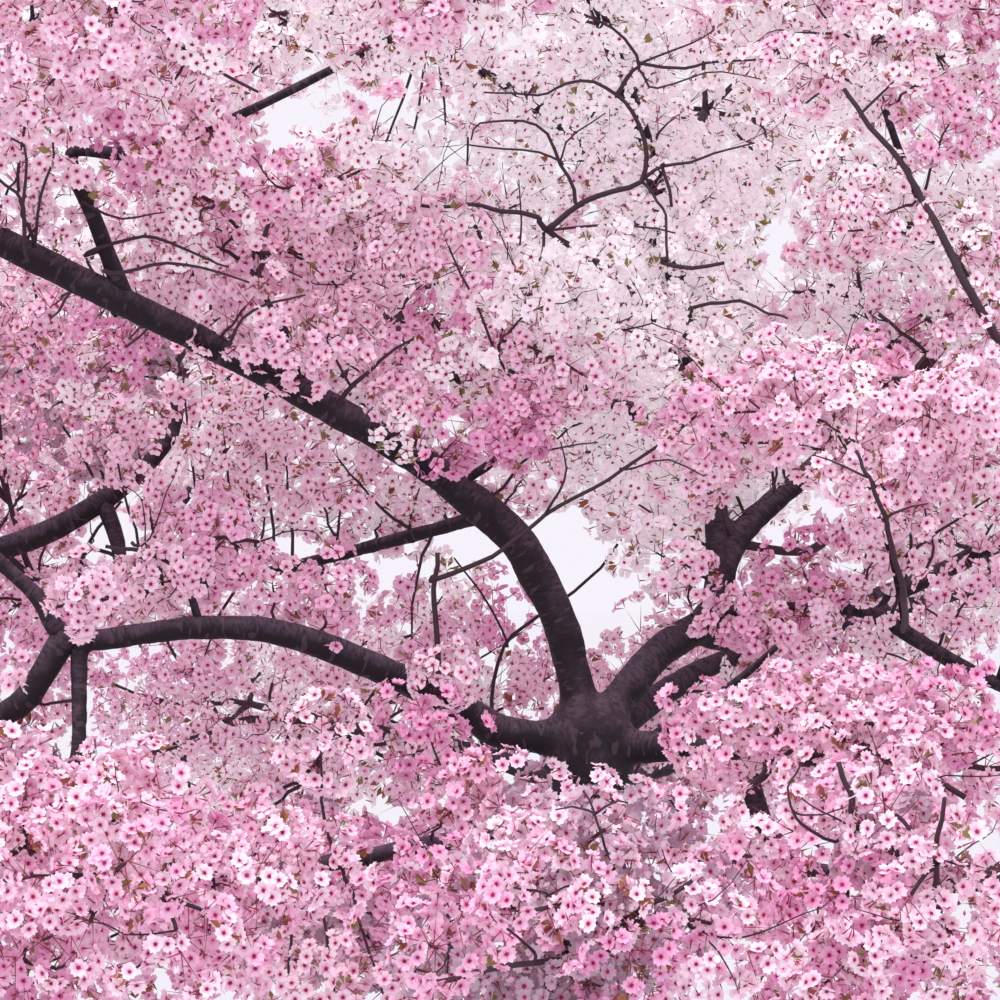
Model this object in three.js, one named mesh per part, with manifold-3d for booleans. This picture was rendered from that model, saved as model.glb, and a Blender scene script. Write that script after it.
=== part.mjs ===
// A young flowering cherry tree in full blossom: trunk, boughs and masses of blossom.
// Millimetres, +Z up. The origin is the middle of the flat cut under the trunk.
import * as THREE from 'three';
import Module from 'manifold-3d';

const wasm = await Module();
wasm.setup();

// Driving sizes of the trunk
const FORK = new THREE.Vector3(60, -40, 1550);   // middle of the fork; the trunk leans to it
const TRUNK_BOW = [-22, 14];        // sideways bow of the trunk at half height
const HEAD_RISE = 78;               // the head of the trunk above the middle of the fork
const TRUNK_RADII = [116, 95, 104];       // above the flare, at half height and at the fork
const HEAD_RADII = [92, 58];        // the head, half way up and at its top
const FLARE_REACH = 92;             // how far the root flare spreads at the ground
const FLARE_HEIGHT = 130;           // height over which the flare dies away
const FLARE_LOBES = 5;              // roots that the flare runs into
const FLARE_LOBE_DEPTH = 0.34;      // share of the flare that swells at a root
const FLARE_TURN = 0.8;             // radians that the roots are turned by

// Driving sizes of the limbs, twigs and sprays of blossom
const LIMB_STEP = 150;              // length of limb between two rings
const LIMB_RINGS_MOST = 10;
const STOUT_RADIUS = 17;            // a limb from this radius on has more sides
const STOUT_SIDES = 7;
const THIN_SIDES = 5;
const TRUNK_SIDES = 15;
const TRUNK_RINGS = 10;
const RING_CROWDING = 1.4;          // the trunk's rings lie closer towards the flare
const SHORTEST_EDGE = 0.05;
const SEAT_GAP = 0.3;               // clearance between a piece and what carries it
const CLEARANCE = 6;                // room between a spray or twig and a limb
const TWIG_ROOT_SHARE = 0.82;       // stem radius over the radius of the limb's tip
const TWIG_TIP_RADIUS = 3.2;
const SHOOTS_MOST = 1;              // side twigs that one joint may carry
const TURN_COST = 0.5;              // what turning round costs, as a share of a twig's length
const WOOD_COST = 0.25;             // what the wood from the limb's tip costs, per length of it
const CLEAR_SHARES = [0.35, 0.55, 0.75, 1];   // where along a twig its clearance is tested
const SWEEP = 0.3;                  // how far a twig starts out along the wood that bears it
const BEND_REACH = 0.45;            // where a twig's bend is centred, in twig lengths
const ROOT_SHARE = 0.45;            // a twig's sunk root over the wood that it leaves
const SWELL_STEP = 0.05;            // thickening of a mass's thinnest twigs, and the most
const SWELL_MOST = 1.5;             // that it may come to
const COLLAR = 22;                  // straight foot of a stem, square to the limb's tip
const SPRAY_RADII = [104, 150];     // smallest and largest ball of blossom
const SPRAY_ROUGHNESS = 0.16;       // how uneven a ball is
const SPRAYS_TRIED = 9;             // balls of blossom that each mass tries to grow
const TWIG_SIDES = 3;
const TWIG_JOINTS = 2;              // steps of a twig, and of a stem: later twigs leave between them
const STEM_JOINTS = 3;
const BALL_SIDES = 5;
const BALL_NECK = 0.92;             // where the twig turns into the ball, in ball radii
const STALK_REACH = 1.1;            // joints nearer to the ball's middle than this are passed over
const BELT_HEIGHT = 0.447;          // the ball's two rings of corners over and under its
const BELT_RADIUS = 0.894;          // middle, and their radius, in ball radii
const RIM_SHARE = 0.45;             // the balls open in the outer part of a space, past
                                    // this share of its volume

const BARK = new THREE.Color(0x4b3a4c);
const NEAR_PINK = new THREE.Color(0xdb93b8);
const MIDDLE_PINK = new THREE.Color(0xdfa9c6);
const PALE_PINK = new THREE.Color(0xead1dd);

// Every limb: what carries it, where on that limb's route it leaves (counted in places),
// its radii at the root and the tip, and the places that it passes, from the fork.
const LIMBS = [
  ['bough_upper_left', 'trunk', 2, [43, 31],
    [[-99, -20, 319], [-274, -60, 539], [-662, -150, 765], [-1400, -330, 1140]]],
  ['bough_upper_right', 'trunk', 2, [44, 24],
    [[146, 60, 173], [267, 130, 267], [321, 200, 404], [417, 280, 506], [680, 450, 720]]],
  ['bough_left', 'trunk', 1.99, [42, 15],
    [[-198, -50, 8], [-296, -80, 75], [-627, -200, 223], [-837, -260, 249], [-1094, -330, 222],
      [-1187, -345, 328], [-1385, -370, 500]]],
  ['bough_right', 'trunk', 1.98, [44, 27], [[192, -120, -14], [320, -370, -8]]],
  ['limb_top_left', 'bough_upper_left', 3.48, [20, 8],
    [[-1051, -285, 1090], [-1101, -330, 1245], [-954, -360, 1246], [-741, -400, 1322],
      [-347, -480, 1510]]],
  ['limb_top_left_front', 'bough_upper_left', 3.85, [15, 10],
    [[-1290, -480, 1250], [-1210, -640, 1370]]],
  ['limb_over_left', 'bough_upper_left', 2.95, [12, 8], [[-648, -190, 850], [-690, -170, 930]]],
  ['limb_over_middle', 'bough_upper_left', 2.05, [11, 8], [[-200, -95, 610], [-140, -100, 690]]],
  ['limb_behind_middle', 'bough_upper_left', 2.4, [19, 12], [[-410, 40, 740], [-440, 440, 880]]],
  ['limb_behind_left', 'bough_upper_left', 1.75, [19, 12],
    [[-376, 100, 445], [-697, 250, 358], [-1078, 430, 290]]],
  ['limb_hanging_left', 'bough_left', 4.95, [20, 13],
    [[-1082, -350, 96], [-1085, -365, -20], [-1130, -368, -110]]],
  ['limb_spur_left', 'bough_left', 4.0, [10, 7], [[-850, -262, 300], [-868, -250, 335]]],
  ['limb_right_arching', 'bough_upper_right', 2.0, [25, 15],
    [[469, 90, 268], [578, 60, 282], [664, 40, 245], [824, -10, 148], [1010, -60, 60]]],
  ['limb_right_rising', 'limb_right_arching', 3.25, [9, 6], [[671, 0, 363], [620, -120, 500]]],
  ['limb_high_right', 'limb_right_arching', 4.4, [13, 8],
    [[1010, -20, 480], [909, 0, 858], [726, 0, 1177], [640, 50, 1420]]],
  ['limb_right_front', 'limb_right_arching', 4.7, [14, 9], [[1080, -300, 230], [1220, -640, 420]]],
  ['bough_right_back', 'bough_upper_right', 1.5, [31, 20],
    [[392, 250, 215], [879, 400, 378], [1300, 380, 640]]],
  ['leader', 'bough_upper_right', 2.6, [31, 18],
    [[272, 330, 677], [160, 400, 1250], [-90, 160, 1930]]],
  ['bough_back', 'leader', 0.6, [24, 15], [[300, 800, 620], [280, 1270, 660]]],
  ['bough_back_left', 'leader', 1.0, [24, 15], [[-200, 700, 800], [-900, 1130, 830]]],
  ['limb_top_back_left', 'leader', 1.7, [18, 11], [[-60, 520, 1400], [-380, 680, 1620]]],
  ['limb_top_back_right', 'leader', 1.4, [17, 11], [[240, 600, 1270], [290, 850, 1440]]],
  ['limb_back_right', 'trunk', 1.95, [33, 18], [[330, 420, 150], [950, 1010, 290]]],
  ['limb_back_left_low', 'trunk', 1.84, [28, 17], [[-260, 330, -60], [-560, 760, -30]]],
  ['limb_back_low', 'trunk', 1.74, [25, 15], [[100, 350, -130], [260, 720, -110]]],
  ['limb_front_left', 'trunk', 1.8, [26, 16], [[-250, -330, -190], [-680, -960, -210]]],
  ['limb_front_right', 'trunk', 1.7, [25, 15], [[280, -420, -230], [620, -1000, -225]]],
  ['limb_front', 'trunk', 1.62, [23, 14], [[-20, -350, -250], [-70, -800, -270]]],
  ['limb_under_left', 'trunk', 1.55, [16, 10], [[-150, -110, -330], [-280, -220, -360]]],
];

// Every mass of blossom: the limb whose tip carries it, its tint, the middle of its space
// and the half sizes of that space along X, Y and Z, from the fork.
const MASSES = [
  ['blossom_far_left', 'bough_upper_left', NEAR_PINK, [-1800, -400, 1200], [500, 650, 400]],
  ['blossom_left', 'bough_left', NEAR_PINK, [-1800, -450, 520], [500, 600, 400]],
  ['blossom_left_low', 'limb_hanging_left', NEAR_PINK, [-1430, -350, -200], [470, 430, 310]],
  ['blossom_on_bough_left', 'limb_spur_left', NEAR_PINK, [-870, -240, 420], [330, 190, 150]],
  ['blossom_top_front', 'limb_top_left', NEAR_PINK, [-280, -720, 1720], [460, 470, 390]],
  ['blossom_top_left', 'limb_top_left_front', NEAR_PINK, [-950, -950, 1550], [620, 520, 400]],
  ['blossom_over_left', 'limb_over_left', NEAR_PINK, [-700, -100, 1120], [460, 380, 300]],
  ['blossom_over_middle', 'limb_over_middle', NEAR_PINK, [-140, 0, 900], [390, 400, 290]],
  ['blossom_behind_middle', 'limb_behind_middle', MIDDLE_PINK, [-420, 850, 1020], [580, 450, 460]],
  ['blossom_behind_left', 'limb_behind_left', MIDDLE_PINK, [-1400, 660, 420], [600, 490, 480]],
  ['blossom_upper_right', 'bough_upper_right', MIDDLE_PINK, [900, 600, 950], [550, 500, 450]],
  ['blossom_right_middle', 'limb_right_rising', NEAR_PINK, [520, -300, 660], [450, 340, 280]],
  ['blossom_far_right', 'limb_right_arching', NEAR_PINK, [1420, -220, 20], [520, 520, 360]],
  ['blossom_high_right', 'limb_high_right', MIDDLE_PINK, [800, 80, 1720], [660, 560, 470]],
  ['blossom_right_front', 'limb_right_front', NEAR_PINK, [1380, -980, 580], [480, 520, 420]],
  ['blossom_right_back', 'bough_right_back', PALE_PINK, [1700, 300, 800], [500, 600, 420]],
  ['blossom_right_low', 'bough_right', NEAR_PINK, [560, -620, -30], [460, 380, 260]],
  ['blossom_front_left', 'limb_front_left', NEAR_PINK, [-1050, -1200, -200], [580, 500, 310]],
  ['blossom_front', 'limb_front', NEAR_PINK, [-100, -1200, -250], [520, 500, 290]],
  ['blossom_front_right', 'limb_front_right', NEAR_PINK, [850, -1300, -140], [520, 450, 340]],
  ['blossom_under_left', 'limb_under_left', NEAR_PINK, [-600, -400, -300], [440, 370, 270]],
  ['blossom_back_left_low', 'limb_back_left_low', MIDDLE_PINK, [-820, 1050, 10], [680, 500, 400]],
  ['blossom_back_low', 'limb_back_low', MIDDLE_PINK, [420, 1100, -50], [620, 500, 360]],
  ['blossom_back_right', 'limb_back_right', PALE_PINK, [1200, 1300, 370], [580, 500, 450]],
  ['blossom_back_left', 'bough_back_left', PALE_PINK, [-1250, 1400, 950], [660, 500, 480]],
  ['blossom_back', 'bough_back', PALE_PINK, [300, 1600, 800], [700, 500, 480]],
  ['blossom_top_back_left', 'limb_top_back_left', PALE_PINK, [-780, 750, 1680], [680, 560, 480]],
  ['blossom_top_back_right', 'limb_top_back_right', PALE_PINK, [330, 1050, 1480], [680, 500, 500]],
  ['blossom_top', 'leader', MIDDLE_PINK, [-180, 0, 2240], [640, 560, 430]],
];

const fromFork = ([x, y, z]) => new THREE.Vector3(x, y, z).add(FORK);
const mix = (low, high, share) => low + (high - low) * share;

// A closed skin over a row of rings, which may differ in how many corners they have. The
// end rings are capped flat, and a ring of one corner is a point.
function skinSolid(rings) {
  const faces = [];
  let first = 0;
  rings.slice(1).forEach((ring, n) => {
    const [low, high] = [rings[n].length, ring.length];
    const second = first + low;
    let [i, k] = [0, 0];
    while (i < low || k < high) {
      const lowTurn = k >= high || (i < low && (i + 0.5) / low < (k + 0.5) / high);
      if (lowTurn) {
        if (low > 1) faces.push(first + i % low, first + (i + 1) % low, second + k % high);
        i += 1;
      } else {
        if (high > 1) faces.push(first + i % low, second + (k + 1) % high, second + k % high);
        k += 1;
      }
    }
    first = second;
  });
  for (let k = 1; k < rings[0].length - 1; k++) faces.push(0, k + 1, k);
  for (let k = 1; k < rings.at(-1).length - 1; k++) faces.push(first, first + k, first + k + 1);
  const corners = rings.flat().flatMap((corner) => corner.toArray());
  return solidOf(new Float32Array(corners), new Uint32Array(faces));
}

// The way a row of points runs at point i
function wayAt(points, i) {
  const ahead = points[Math.min(i + 1, points.length - 1)];
  return ahead.clone().sub(points[Math.max(i - 1, 0)]).normalize();
}

// A direction square to the path, as near as it can be to the side that was used before
function squareTo(along, side) {
  const level = Math.abs(along.x) < Math.SQRT1_2 ? [1, 0, 0] : [0, 1, 0];
  const start = side ?? new THREE.Vector3(...level);
  return start.clone().addScaledVector(along, -start.dot(along)).normalize();
}

// A ring of corners round a point; radiusAt gives the radius at corner k
function ringAt(point, along, side, sides, radiusAt, turn = 0) {
  const other = along.clone().cross(side);
  return Array.from({ length: sides }, (_, k) => {
    const angle = 2 * Math.PI * (k + turn) / sides;
    return point.clone()
      .addScaledVector(side, radiusAt(k) * Math.cos(angle))
      .addScaledVector(other, radiusAt(k) * Math.sin(angle));
  });
}

// The rings of a tapering tube, each square to the path; radiusAt(i, k) is for ring i, corner k
function tubeRings(points, radiusAt, sides) {
  let side = null;
  return points.map((point, i) => {
    const along = wayAt(points, i);
    side = squareTo(along, side);
    return ringAt(point, along, side, sides, (k) => radiusAt(i, k));
  });
}

const tubeSolid = (points, radiusAt, sides) => skinSolid(tubeRings(points, radiusAt, sides));

// Edges shorter than the tolerance are closed up
function solidOf(vertProperties, triVerts) {
  return new wasm.Manifold(new wasm.Mesh({ numProp: 3, vertProperties, triVerts, tolerance: SHORTEST_EDGE }));
}

// The largest body of a cut or joined solid: scraps are dropped and sealed hollows filled.
// Closing the solid up again from its mesh parts bodies that only share a corner.
function largestBody(solid) {
  let body = solid;
  for (let before = 0; before !== body.numTri();) {
    before = body.numTri();
    const { vertProperties, triVerts } = body.getMesh();
    const bodies = solidOf(vertProperties, triVerts).decompose();
    body = bodies.reduce((best, next) => (next.volume() > best.volume() ? next : best));
  }
  return body;
}

// True where two walls of a solid touch along a whole edge
function isPinched(solid) {
  const { vertProperties, triVerts } = solid.getMesh();
  const corner = (i) => [0, 1, 2].map((axis) => vertProperties[3 * triVerts[i] + axis].toFixed(3)).join();
  const walls = new Map();
  for (let i = 0; i < triVerts.length; i++) {
    const edge = [corner(i), corner(i % 3 === 2 ? i - 2 : i + 1)].sort().join(' ');
    walls.set(edge, (walls.get(edge) ?? 0) + 1);
  }
  return [...walls.values()].some((count) => count !== 2);
}

// Place on a route at a number of places along it, on a smooth curve through them all
function routePoint(route, at) {
  return route.curve.getPoint(at / (route.places.length - 1));
}

// Rings of a limb: evenly spread along its places, tapering from root to tip
function layRings(route, radii, count) {
  const lastPlace = route.places.length - 1;
  route.points = [];
  route.radii = [];
  for (let i = 0; i <= count; i++) {
    route.points.push(routePoint(route, lastPlace * i / count));
    route.radii.push(mix(radii[0], radii[1], i / count));
  }
}

function makeRoute(name, places) {
  return { name, places, curve: new THREE.CatmullRomCurve3(places, false, 'catmullrom', 0.5) };
}

function trunkRoute() {
  const waist = FORK.clone().multiplyScalar(0.5).add(new THREE.Vector3(...TRUNK_BOW, 0));
  const route = makeRoute('trunk', [new THREE.Vector3(), waist, FORK]);
  route.points = [];
  route.radii = [];
  for (let i = 0; i <= TRUNK_RINGS; i++) {
    const at = 2 * (i / TRUNK_RINGS) ** RING_CROWDING;
    const step = at < 1 ? 0 : 1;
    route.points.push(routePoint(route, at));
    route.radii.push(mix(TRUNK_RADII[step], TRUNK_RADII[step + 1], at - step));
  }
  HEAD_RADII.forEach((radius, n) => {
    route.points.push(FORK.clone().add(new THREE.Vector3(0, 0, HEAD_RISE * (n + 1) / 2)));
    route.radii.push(radius);
  });
  return route;
}

// Extra radius of the root flare at a height over the ground and a corner of the ring
function flare(height, corner) {
  const lobe = Math.cos(2 * Math.PI * FLARE_LOBES * corner / TRUNK_SIDES + FLARE_TURN);
  return FLARE_REACH * Math.exp(-height / FLARE_HEIGHT) * (1 + FLARE_LOBE_DEPTH * lobe);
}

function trunkSolid(route, growth) {
  const radiusAt = (i, k) => route.radii[i] + growth + flare(route.points[i].z, k);
  const rings = tubeRings(route.points, radiusAt, TRUNK_SIDES);
  // the cut under the trunk is level, whatever its lean
  rings[0].forEach((corner) => { corner.z = 0; });
  rings.at(-1).forEach((corner) => { corner.z += growth; });
  return skinSolid(rings);
}

function limbRoute([name, parentName, at, radii, places], routes) {
  const start = routePoint(routes.get(parentName), at);
  const route = makeRoute(name, [start, ...places.map(fromFork)]);
  const count = Math.min(LIMB_RINGS_MOST, Math.max(3, Math.ceil(route.curve.getLength() / LIMB_STEP)));
  layRings(route, radii, count);
  route.sides = radii[0] >= STOUT_RADIUS ? STOUT_SIDES : THIN_SIDES;
  return route;
}

// Evenly spread numbers from 0 to 1: the k-th of a mass, along one of three axes
const SPREAD_STEPS = [0.8191725134, 0.6710436067, 0.5497004779];
const SEED_STEP = 0.618034;
const SIZE_SHIFT = 0.37;            // parts the balls' sizes from their places
function spread(seed, k, axis) {
  const value = 0.5 + seed * SEED_STEP + (k + 1) * SPREAD_STEPS[axis];
  return value - Math.floor(value);
}

// How far a place lies from the middle of a space, where 1 is its edge moved out by room
function depthIn(place, centre, sizes, room) {
  const x = (place.x - centre.x) / (sizes[0] + room);
  const y = (place.y - centre.y) / (sizes[1] + room);
  const z = (place.z - centre.z) / (sizes[2] + room);
  return Math.sqrt(x * x + y * y + z * z);
}

function distanceToSegment(place, from, to) {
  const way = to.clone().sub(from);
  const share = place.clone().sub(from).dot(way) / way.lengthSq();
  return from.clone().addScaledVector(way, Math.min(1, Math.max(0, share))).distanceTo(place);
}

function clearOfLimbs(place, room, routes) {
  for (const route of routes.values()) {
    for (let i = 1; i < route.points.length; i++) {
      const reach = Math.max(route.radii[i - 1], route.radii[i]) + room;
      if (distanceToSegment(place, route.points[i - 1], route.points[i]) < reach) return false;
    }
  }
  return true;
}

const clearOfSpaces = (place, room, spaces) => spaces.every(
  (space) => depthIn(place, space.centre, space.sizes, room) > 1);

const bend = (from, through, to) => new THREE.QuadraticBezierCurve3(from, through, to);

// The k-th ball of blossom that a mass would like to grow: an even spread through its space
function sprayAt(space, k) {
  const radius = mix(...SPRAY_RADII, spread(space.seed + SIZE_SHIFT, k, 1));
  const depth = Math.cbrt(mix(RIM_SHARE, 1, spread(space.seed, k, 0)));
  const height = 1 - 2 * spread(space.seed, k, 1);
  const around = 2 * Math.PI * spread(space.seed, k, 2);
  const level = Math.sqrt(1 - height * height);
  const centre = new THREE.Vector3(
    space.centre.x + (space.sizes[0] - radius) * depth * level * Math.cos(around),
    space.centre.y + (space.sizes[1] - radius) * depth * level * Math.sin(around),
    space.centre.z + (space.sizes[2] - radius) * depth * height);
  return { centre, radius };
}

// Twigs of one mass. A stem runs from the limb's tip to the middle of the space, and each
// spray in turn is reached by a twig from the joint that costs least wood and least turning.
function growTwigs(space, limb, routes, earlierSpaces, tries) {
  const joints = [];
  const addJoint = (place, from) => {
    const before = joints[from];
    joints.push({
      place,
      from,
      wood: before ? before.wood + before.place.distanceTo(place) : 0,
      way: before ? place.clone().sub(before.place).normalize() : null,
      load: 0,
      flowering: false,
      shoots: 0,
    });
    return joints.length - 1;
  };
  const grow = (curve, from, steps) => {
    const path = [from];
    for (let i = 1; i <= steps; i++) path.push(addJoint(curve.getPoint(i / steps), path.at(-1)));
    return path;
  };
  const last = limb.points.length - 1;
  const heading = limb.points[last].clone().sub(limb.points[last - 1]).normalize();
  const root = limb.points[last].clone().addScaledVector(heading, SEAT_GAP);
  addJoint(root, -1);
  const collar = addJoint(root.clone().addScaledVector(heading, COLLAR), 0);
  const stemReach = root.distanceTo(space.centre);
  const stemBend = root.clone().addScaledVector(heading, stemReach * BEND_REACH);
  const paths = [[0, ...grow(bend(joints[collar].place, stemBend, space.centre), collar, STEM_JOINTS)]];
  const sprays = [];
  for (let k = 0; k < tries; k++) {
    const spray = sprayAt(space, k);
    if (!clearOfLimbs(spray.centre, spray.radius + CLEARANCE, routes)) continue;
    if (!clearOfSpaces(spray.centre, spray.radius + CLEARANCE, earlierSpaces)) continue;
    let best = null;
    for (let i = collar + 1; i < joints.length; i++) {
      if (joints[i].flowering || joints[i].shoots >= SHOOTS_MOST) continue;
      const way = spray.centre.clone().sub(joints[i].place);
      const gap = way.length();
      const turn = 1 - way.dot(joints[i].way) / Math.max(gap, 1);
      const cost = gap * (1 + TURN_COST * turn) + WOOD_COST * joints[i].wood;
      if (!best || cost < best.cost) best = { i, gap, way: way.normalize(), cost };
    }
    const from = joints[best.i];
    const lead = from.way.clone().lerp(best.way, 1 - SWEEP).normalize();
    const through = from.place.clone().addScaledVector(lead, best.gap * BEND_REACH);
    const curve = bend(from.place, through, spray.centre);
    const clear = CLEAR_SHARES.every((share) => {
      const place = curve.getPoint(share);
      return clearOfLimbs(place, 2 * CLEARANCE, routes) && clearOfSpaces(place, CLEARANCE, earlierSpaces);
    });
    if (!clear) continue;
    const path = grow(curve, best.i, TWIG_JOINTS);
    joints[path.at(-1)].flowering = true;
    joints[best.i].shoots += 1;
    paths.push(path);
    for (let i = path.at(-1); i >= 0; i = joints[i].from) joints[i].load += 1;
    sprays.push({ ...spray, k });
  }
  return { joints, paths, sprays };
}

// A three-sided twig that swells at its tip into an uneven ball of blossom. Joints that lie in
// the ball are passed over, and a twig that lies in it whole is left out.
function sprayedTwigSolid(points, radii, { radius, k }, seed) {
  const middle = points.at(-1);
  const shown = points.findIndex((point) => point.distanceTo(middle) <= radius * STALK_REACH);
  const along = middle.clone().sub(points[Math.max(shown - 1, 0)]).normalize();
  const neck = middle.clone().addScaledVector(along, -radius * (shown > 0 ? BALL_NECK : 1));
  const stalk = shown > 0
    ? tubeRings([...points.slice(0, shown), neck], (i) => radii[i], TWIG_SIDES)
    : [[neck]];
  const side = squareTo(along, shown > 0 ? stalk.at(-1)[0].clone().sub(neck) : null);
  const belt = (n) => {
    const radiusAt = (corner) => radius * BELT_RADIUS * bump(seed + k, corner + n * BALL_SIDES);
    const height = (2 * n - 1) * radius * BELT_HEIGHT;
    return ringAt(middle.clone().addScaledVector(along, height), along, side, BALL_SIDES, radiusAt, n / 2);
  };
  const crown = middle.clone().addScaledVector(along, radius);
  return skinSolid([...stalk, belt(0), belt(1), [crown]]);
}

const bump = (seed, corner) => 1 + SPRAY_ROUGHNESS * (spread(seed, corner, 0) - 0.5);

// One mass as a single solid: a stem, and twigs that each end in a ball of blossom
function massSolid(space, limb, growth, swell) {
  const { joints, paths, sprays } = growth;
  const stemRadius = limb.radii.at(-1) * TWIG_ROOT_SHARE;
  const tipRadius = TWIG_TIP_RADIUS * swell;
  const thickness = (joint) => mix(tipRadius, stemRadius, Math.sqrt(joint.load / sprays.length));
  const pieces = paths.map((path, n) => {
    const points = path.map((i) => joints[i].place);
    const radii = path.map((i) => thickness(joints[i]));
    if (n === 0) return tubeSolid(points, (i) => radii[i], TWIG_SIDES);
    radii[0] *= ROOT_SHARE;
    return sprayedTwigSolid(points, radii, sprays[n - 1], space.seed);
  });
  return largestBody(pieces.reduce((whole, piece) => whole.add(piece)));
}

// The twigs are made a little thicker while any of them pinches shut along an edge
function soundMassSolid(space, limb, growth) {
  let solid = massSolid(space, limb, growth, 1);
  for (let swell = 1; isPinched(solid) && swell < SWELL_MOST; swell += SWELL_STEP) {
    solid = massSolid(space, limb, growth, swell + SWELL_STEP);
  }
  return solid;
}

function meshOf(name, solid, colour) {
  const { vertProperties, triVerts } = solid.getMesh();
  const geometry = new THREE.BufferGeometry();
  geometry.setAttribute('position', new THREE.BufferAttribute(vertProperties, 3));
  geometry.setIndex(new THREE.BufferAttribute(triVerts, 1));
  geometry.computeVertexNormals();
  const material = new THREE.MeshStandardMaterial({ color: colour, roughness: 0.85, metalness: 0 });
  const mesh = new THREE.Mesh(geometry, material);
  mesh.name = name;
  return mesh;
}

function buildTree() {
  const tree = new THREE.Group();
  const routes = new Map([['trunk', trunkRoute()]]);
  for (const row of LIMBS) routes.set(row[0], limbRoute(row, routes));

  const trunk = routes.get('trunk');
  tree.add(meshOf('trunk', trunkSolid(trunk, 0), BARK));

  // Each limb is cut clear of all the wood that was set before it
  const grown = [trunkSolid(trunk, SEAT_GAP)];
  for (const [name] of LIMBS) {
    const route = routes.get(name);
    const limb = tubeSolid(route.points, (i) => route.radii[i], route.sides);
    const cut = largestBody(grown.reduce((left, wood) => left.subtract(wood), limb));
    tree.add(meshOf(name, cut, BARK));
    grown.push(tubeSolid(route.points, (i) => route.radii[i] + SEAT_GAP, route.sides));
  }

  const earlierSpaces = [];
  MASSES.forEach(([name, limbName, tint, centre, sizes], n) => {
    const space = { centre: fromFork(centre), sizes, seed: n + 1 };
    const limb = routes.get(limbName);
    const growth = growTwigs(space, limb, routes, earlierSpaces, SPRAYS_TRIED);
    tree.add(meshOf(name, soundMassSolid(space, limb, growth), tint));
    earlierSpaces.push(space);
  });
  return tree;
}

const group = new THREE.Group();
group.add(buildTree());

export default group;
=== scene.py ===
"""A young flowering cherry tree in full blossom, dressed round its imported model.

Metres, +Z up, with the origin in the flat cut under the trunk. The wood is modelled limb by limb,
fused and given the relief of bark. The masses of blossom are grown again by the rule that the
solids follow, and carried on to finer twigs, umbels, flowers, buds and young leaves.
"""
import functools
import math

import bpy
import numpy as np
from bpy.props import FloatProperty, FloatVectorProperty, IntProperty, PointerProperty
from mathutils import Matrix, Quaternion, Vector, kdtree, noise


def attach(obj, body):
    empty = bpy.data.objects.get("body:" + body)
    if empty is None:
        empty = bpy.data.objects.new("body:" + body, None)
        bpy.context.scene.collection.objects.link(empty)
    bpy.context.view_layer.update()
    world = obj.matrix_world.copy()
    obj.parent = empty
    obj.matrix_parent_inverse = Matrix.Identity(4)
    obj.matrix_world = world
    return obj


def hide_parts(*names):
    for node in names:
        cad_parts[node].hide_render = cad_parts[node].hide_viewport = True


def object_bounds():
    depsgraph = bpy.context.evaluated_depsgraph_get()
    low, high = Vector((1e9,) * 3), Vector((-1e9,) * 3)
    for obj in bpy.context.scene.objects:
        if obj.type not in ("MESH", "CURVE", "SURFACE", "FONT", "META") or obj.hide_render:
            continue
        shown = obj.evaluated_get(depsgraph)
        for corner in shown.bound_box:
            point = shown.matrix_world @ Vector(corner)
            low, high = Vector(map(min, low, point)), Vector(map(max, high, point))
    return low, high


bl_info = {
    "name": "Flowering cherry tree",
    "version": (1, 0, 0),
    "blender": (4, 5, 0),
    "location": "3D View > Sidebar > Cherry",
    "description": "Bark, twigs, leaves and blossom of a young cherry tree round its packed model",
    "category": "Object",
}

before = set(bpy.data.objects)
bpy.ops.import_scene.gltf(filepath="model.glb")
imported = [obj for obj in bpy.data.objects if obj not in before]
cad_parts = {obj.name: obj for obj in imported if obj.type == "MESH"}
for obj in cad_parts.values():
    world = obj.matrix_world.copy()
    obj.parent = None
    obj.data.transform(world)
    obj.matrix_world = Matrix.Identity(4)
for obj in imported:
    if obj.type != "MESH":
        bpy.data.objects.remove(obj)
CAD_BOX = [[float(x) for x in corner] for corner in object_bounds()]
BODY = "root"

# Without a seed the noise vectors that the wood strays by would differ from run to run
NOISE_SEED = 7
noise.seed_set(NOISE_SEED)

# Driving sizes of the trunk, as the solids have them
FORK = Vector((0.060, -0.040, 1.550))      # middle of the fork; the trunk leans to it
TRUNK_BOW = Vector((-0.022, 0.014, 0))     # sideways bow of the trunk at half height
HEAD_RISE = 0.078
TRUNK_RADII = (0.116, 0.095, 0.104)        # above the flare, at half height and at the fork
HEAD_RADII = (0.092, 0.058)
FLARE_REACH = 0.092
FLARE_HEIGHT = 0.130
FLARE_LOBES = 5
FLARE_LOBE_DEPTH = 0.34
FLARE_TURN = 0.8
TRUNK_SIDES = 15
TRUNK_RINGS = 10
RING_CROWDING = 1.4

# Driving sizes of the limbs, twigs and sprays, as the solids have them
LIMB_STEP = 0.150
LIMB_RINGS = (3, 10)                       # fewest and most
SEAT_GAP = 0.0003
CLEARANCE = 0.006
TWIG_ROOT_SHARE = 0.82
TURN_COST = 0.5
WOOD_COST = 0.25
CLEAR_SHARES = (0.35, 0.55, 0.75, 1)
SWEEP = 0.3
BEND_REACH = 0.45
COLLAR = 0.022
SPRAY_RADII = (0.104, 0.150)
SOLID_SPRAYS = 9                           # tries that the solids make in each mass
TWIG_JOINTS = 2
STEM_JOINTS = 3
RIM_SHARE = 0.45
SPREAD_STEPS = (0.8191725134, 0.6710436067, 0.5497004779)
SEED_STEP = 0.618034
SIZE_SHIFT = 0.37

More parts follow.
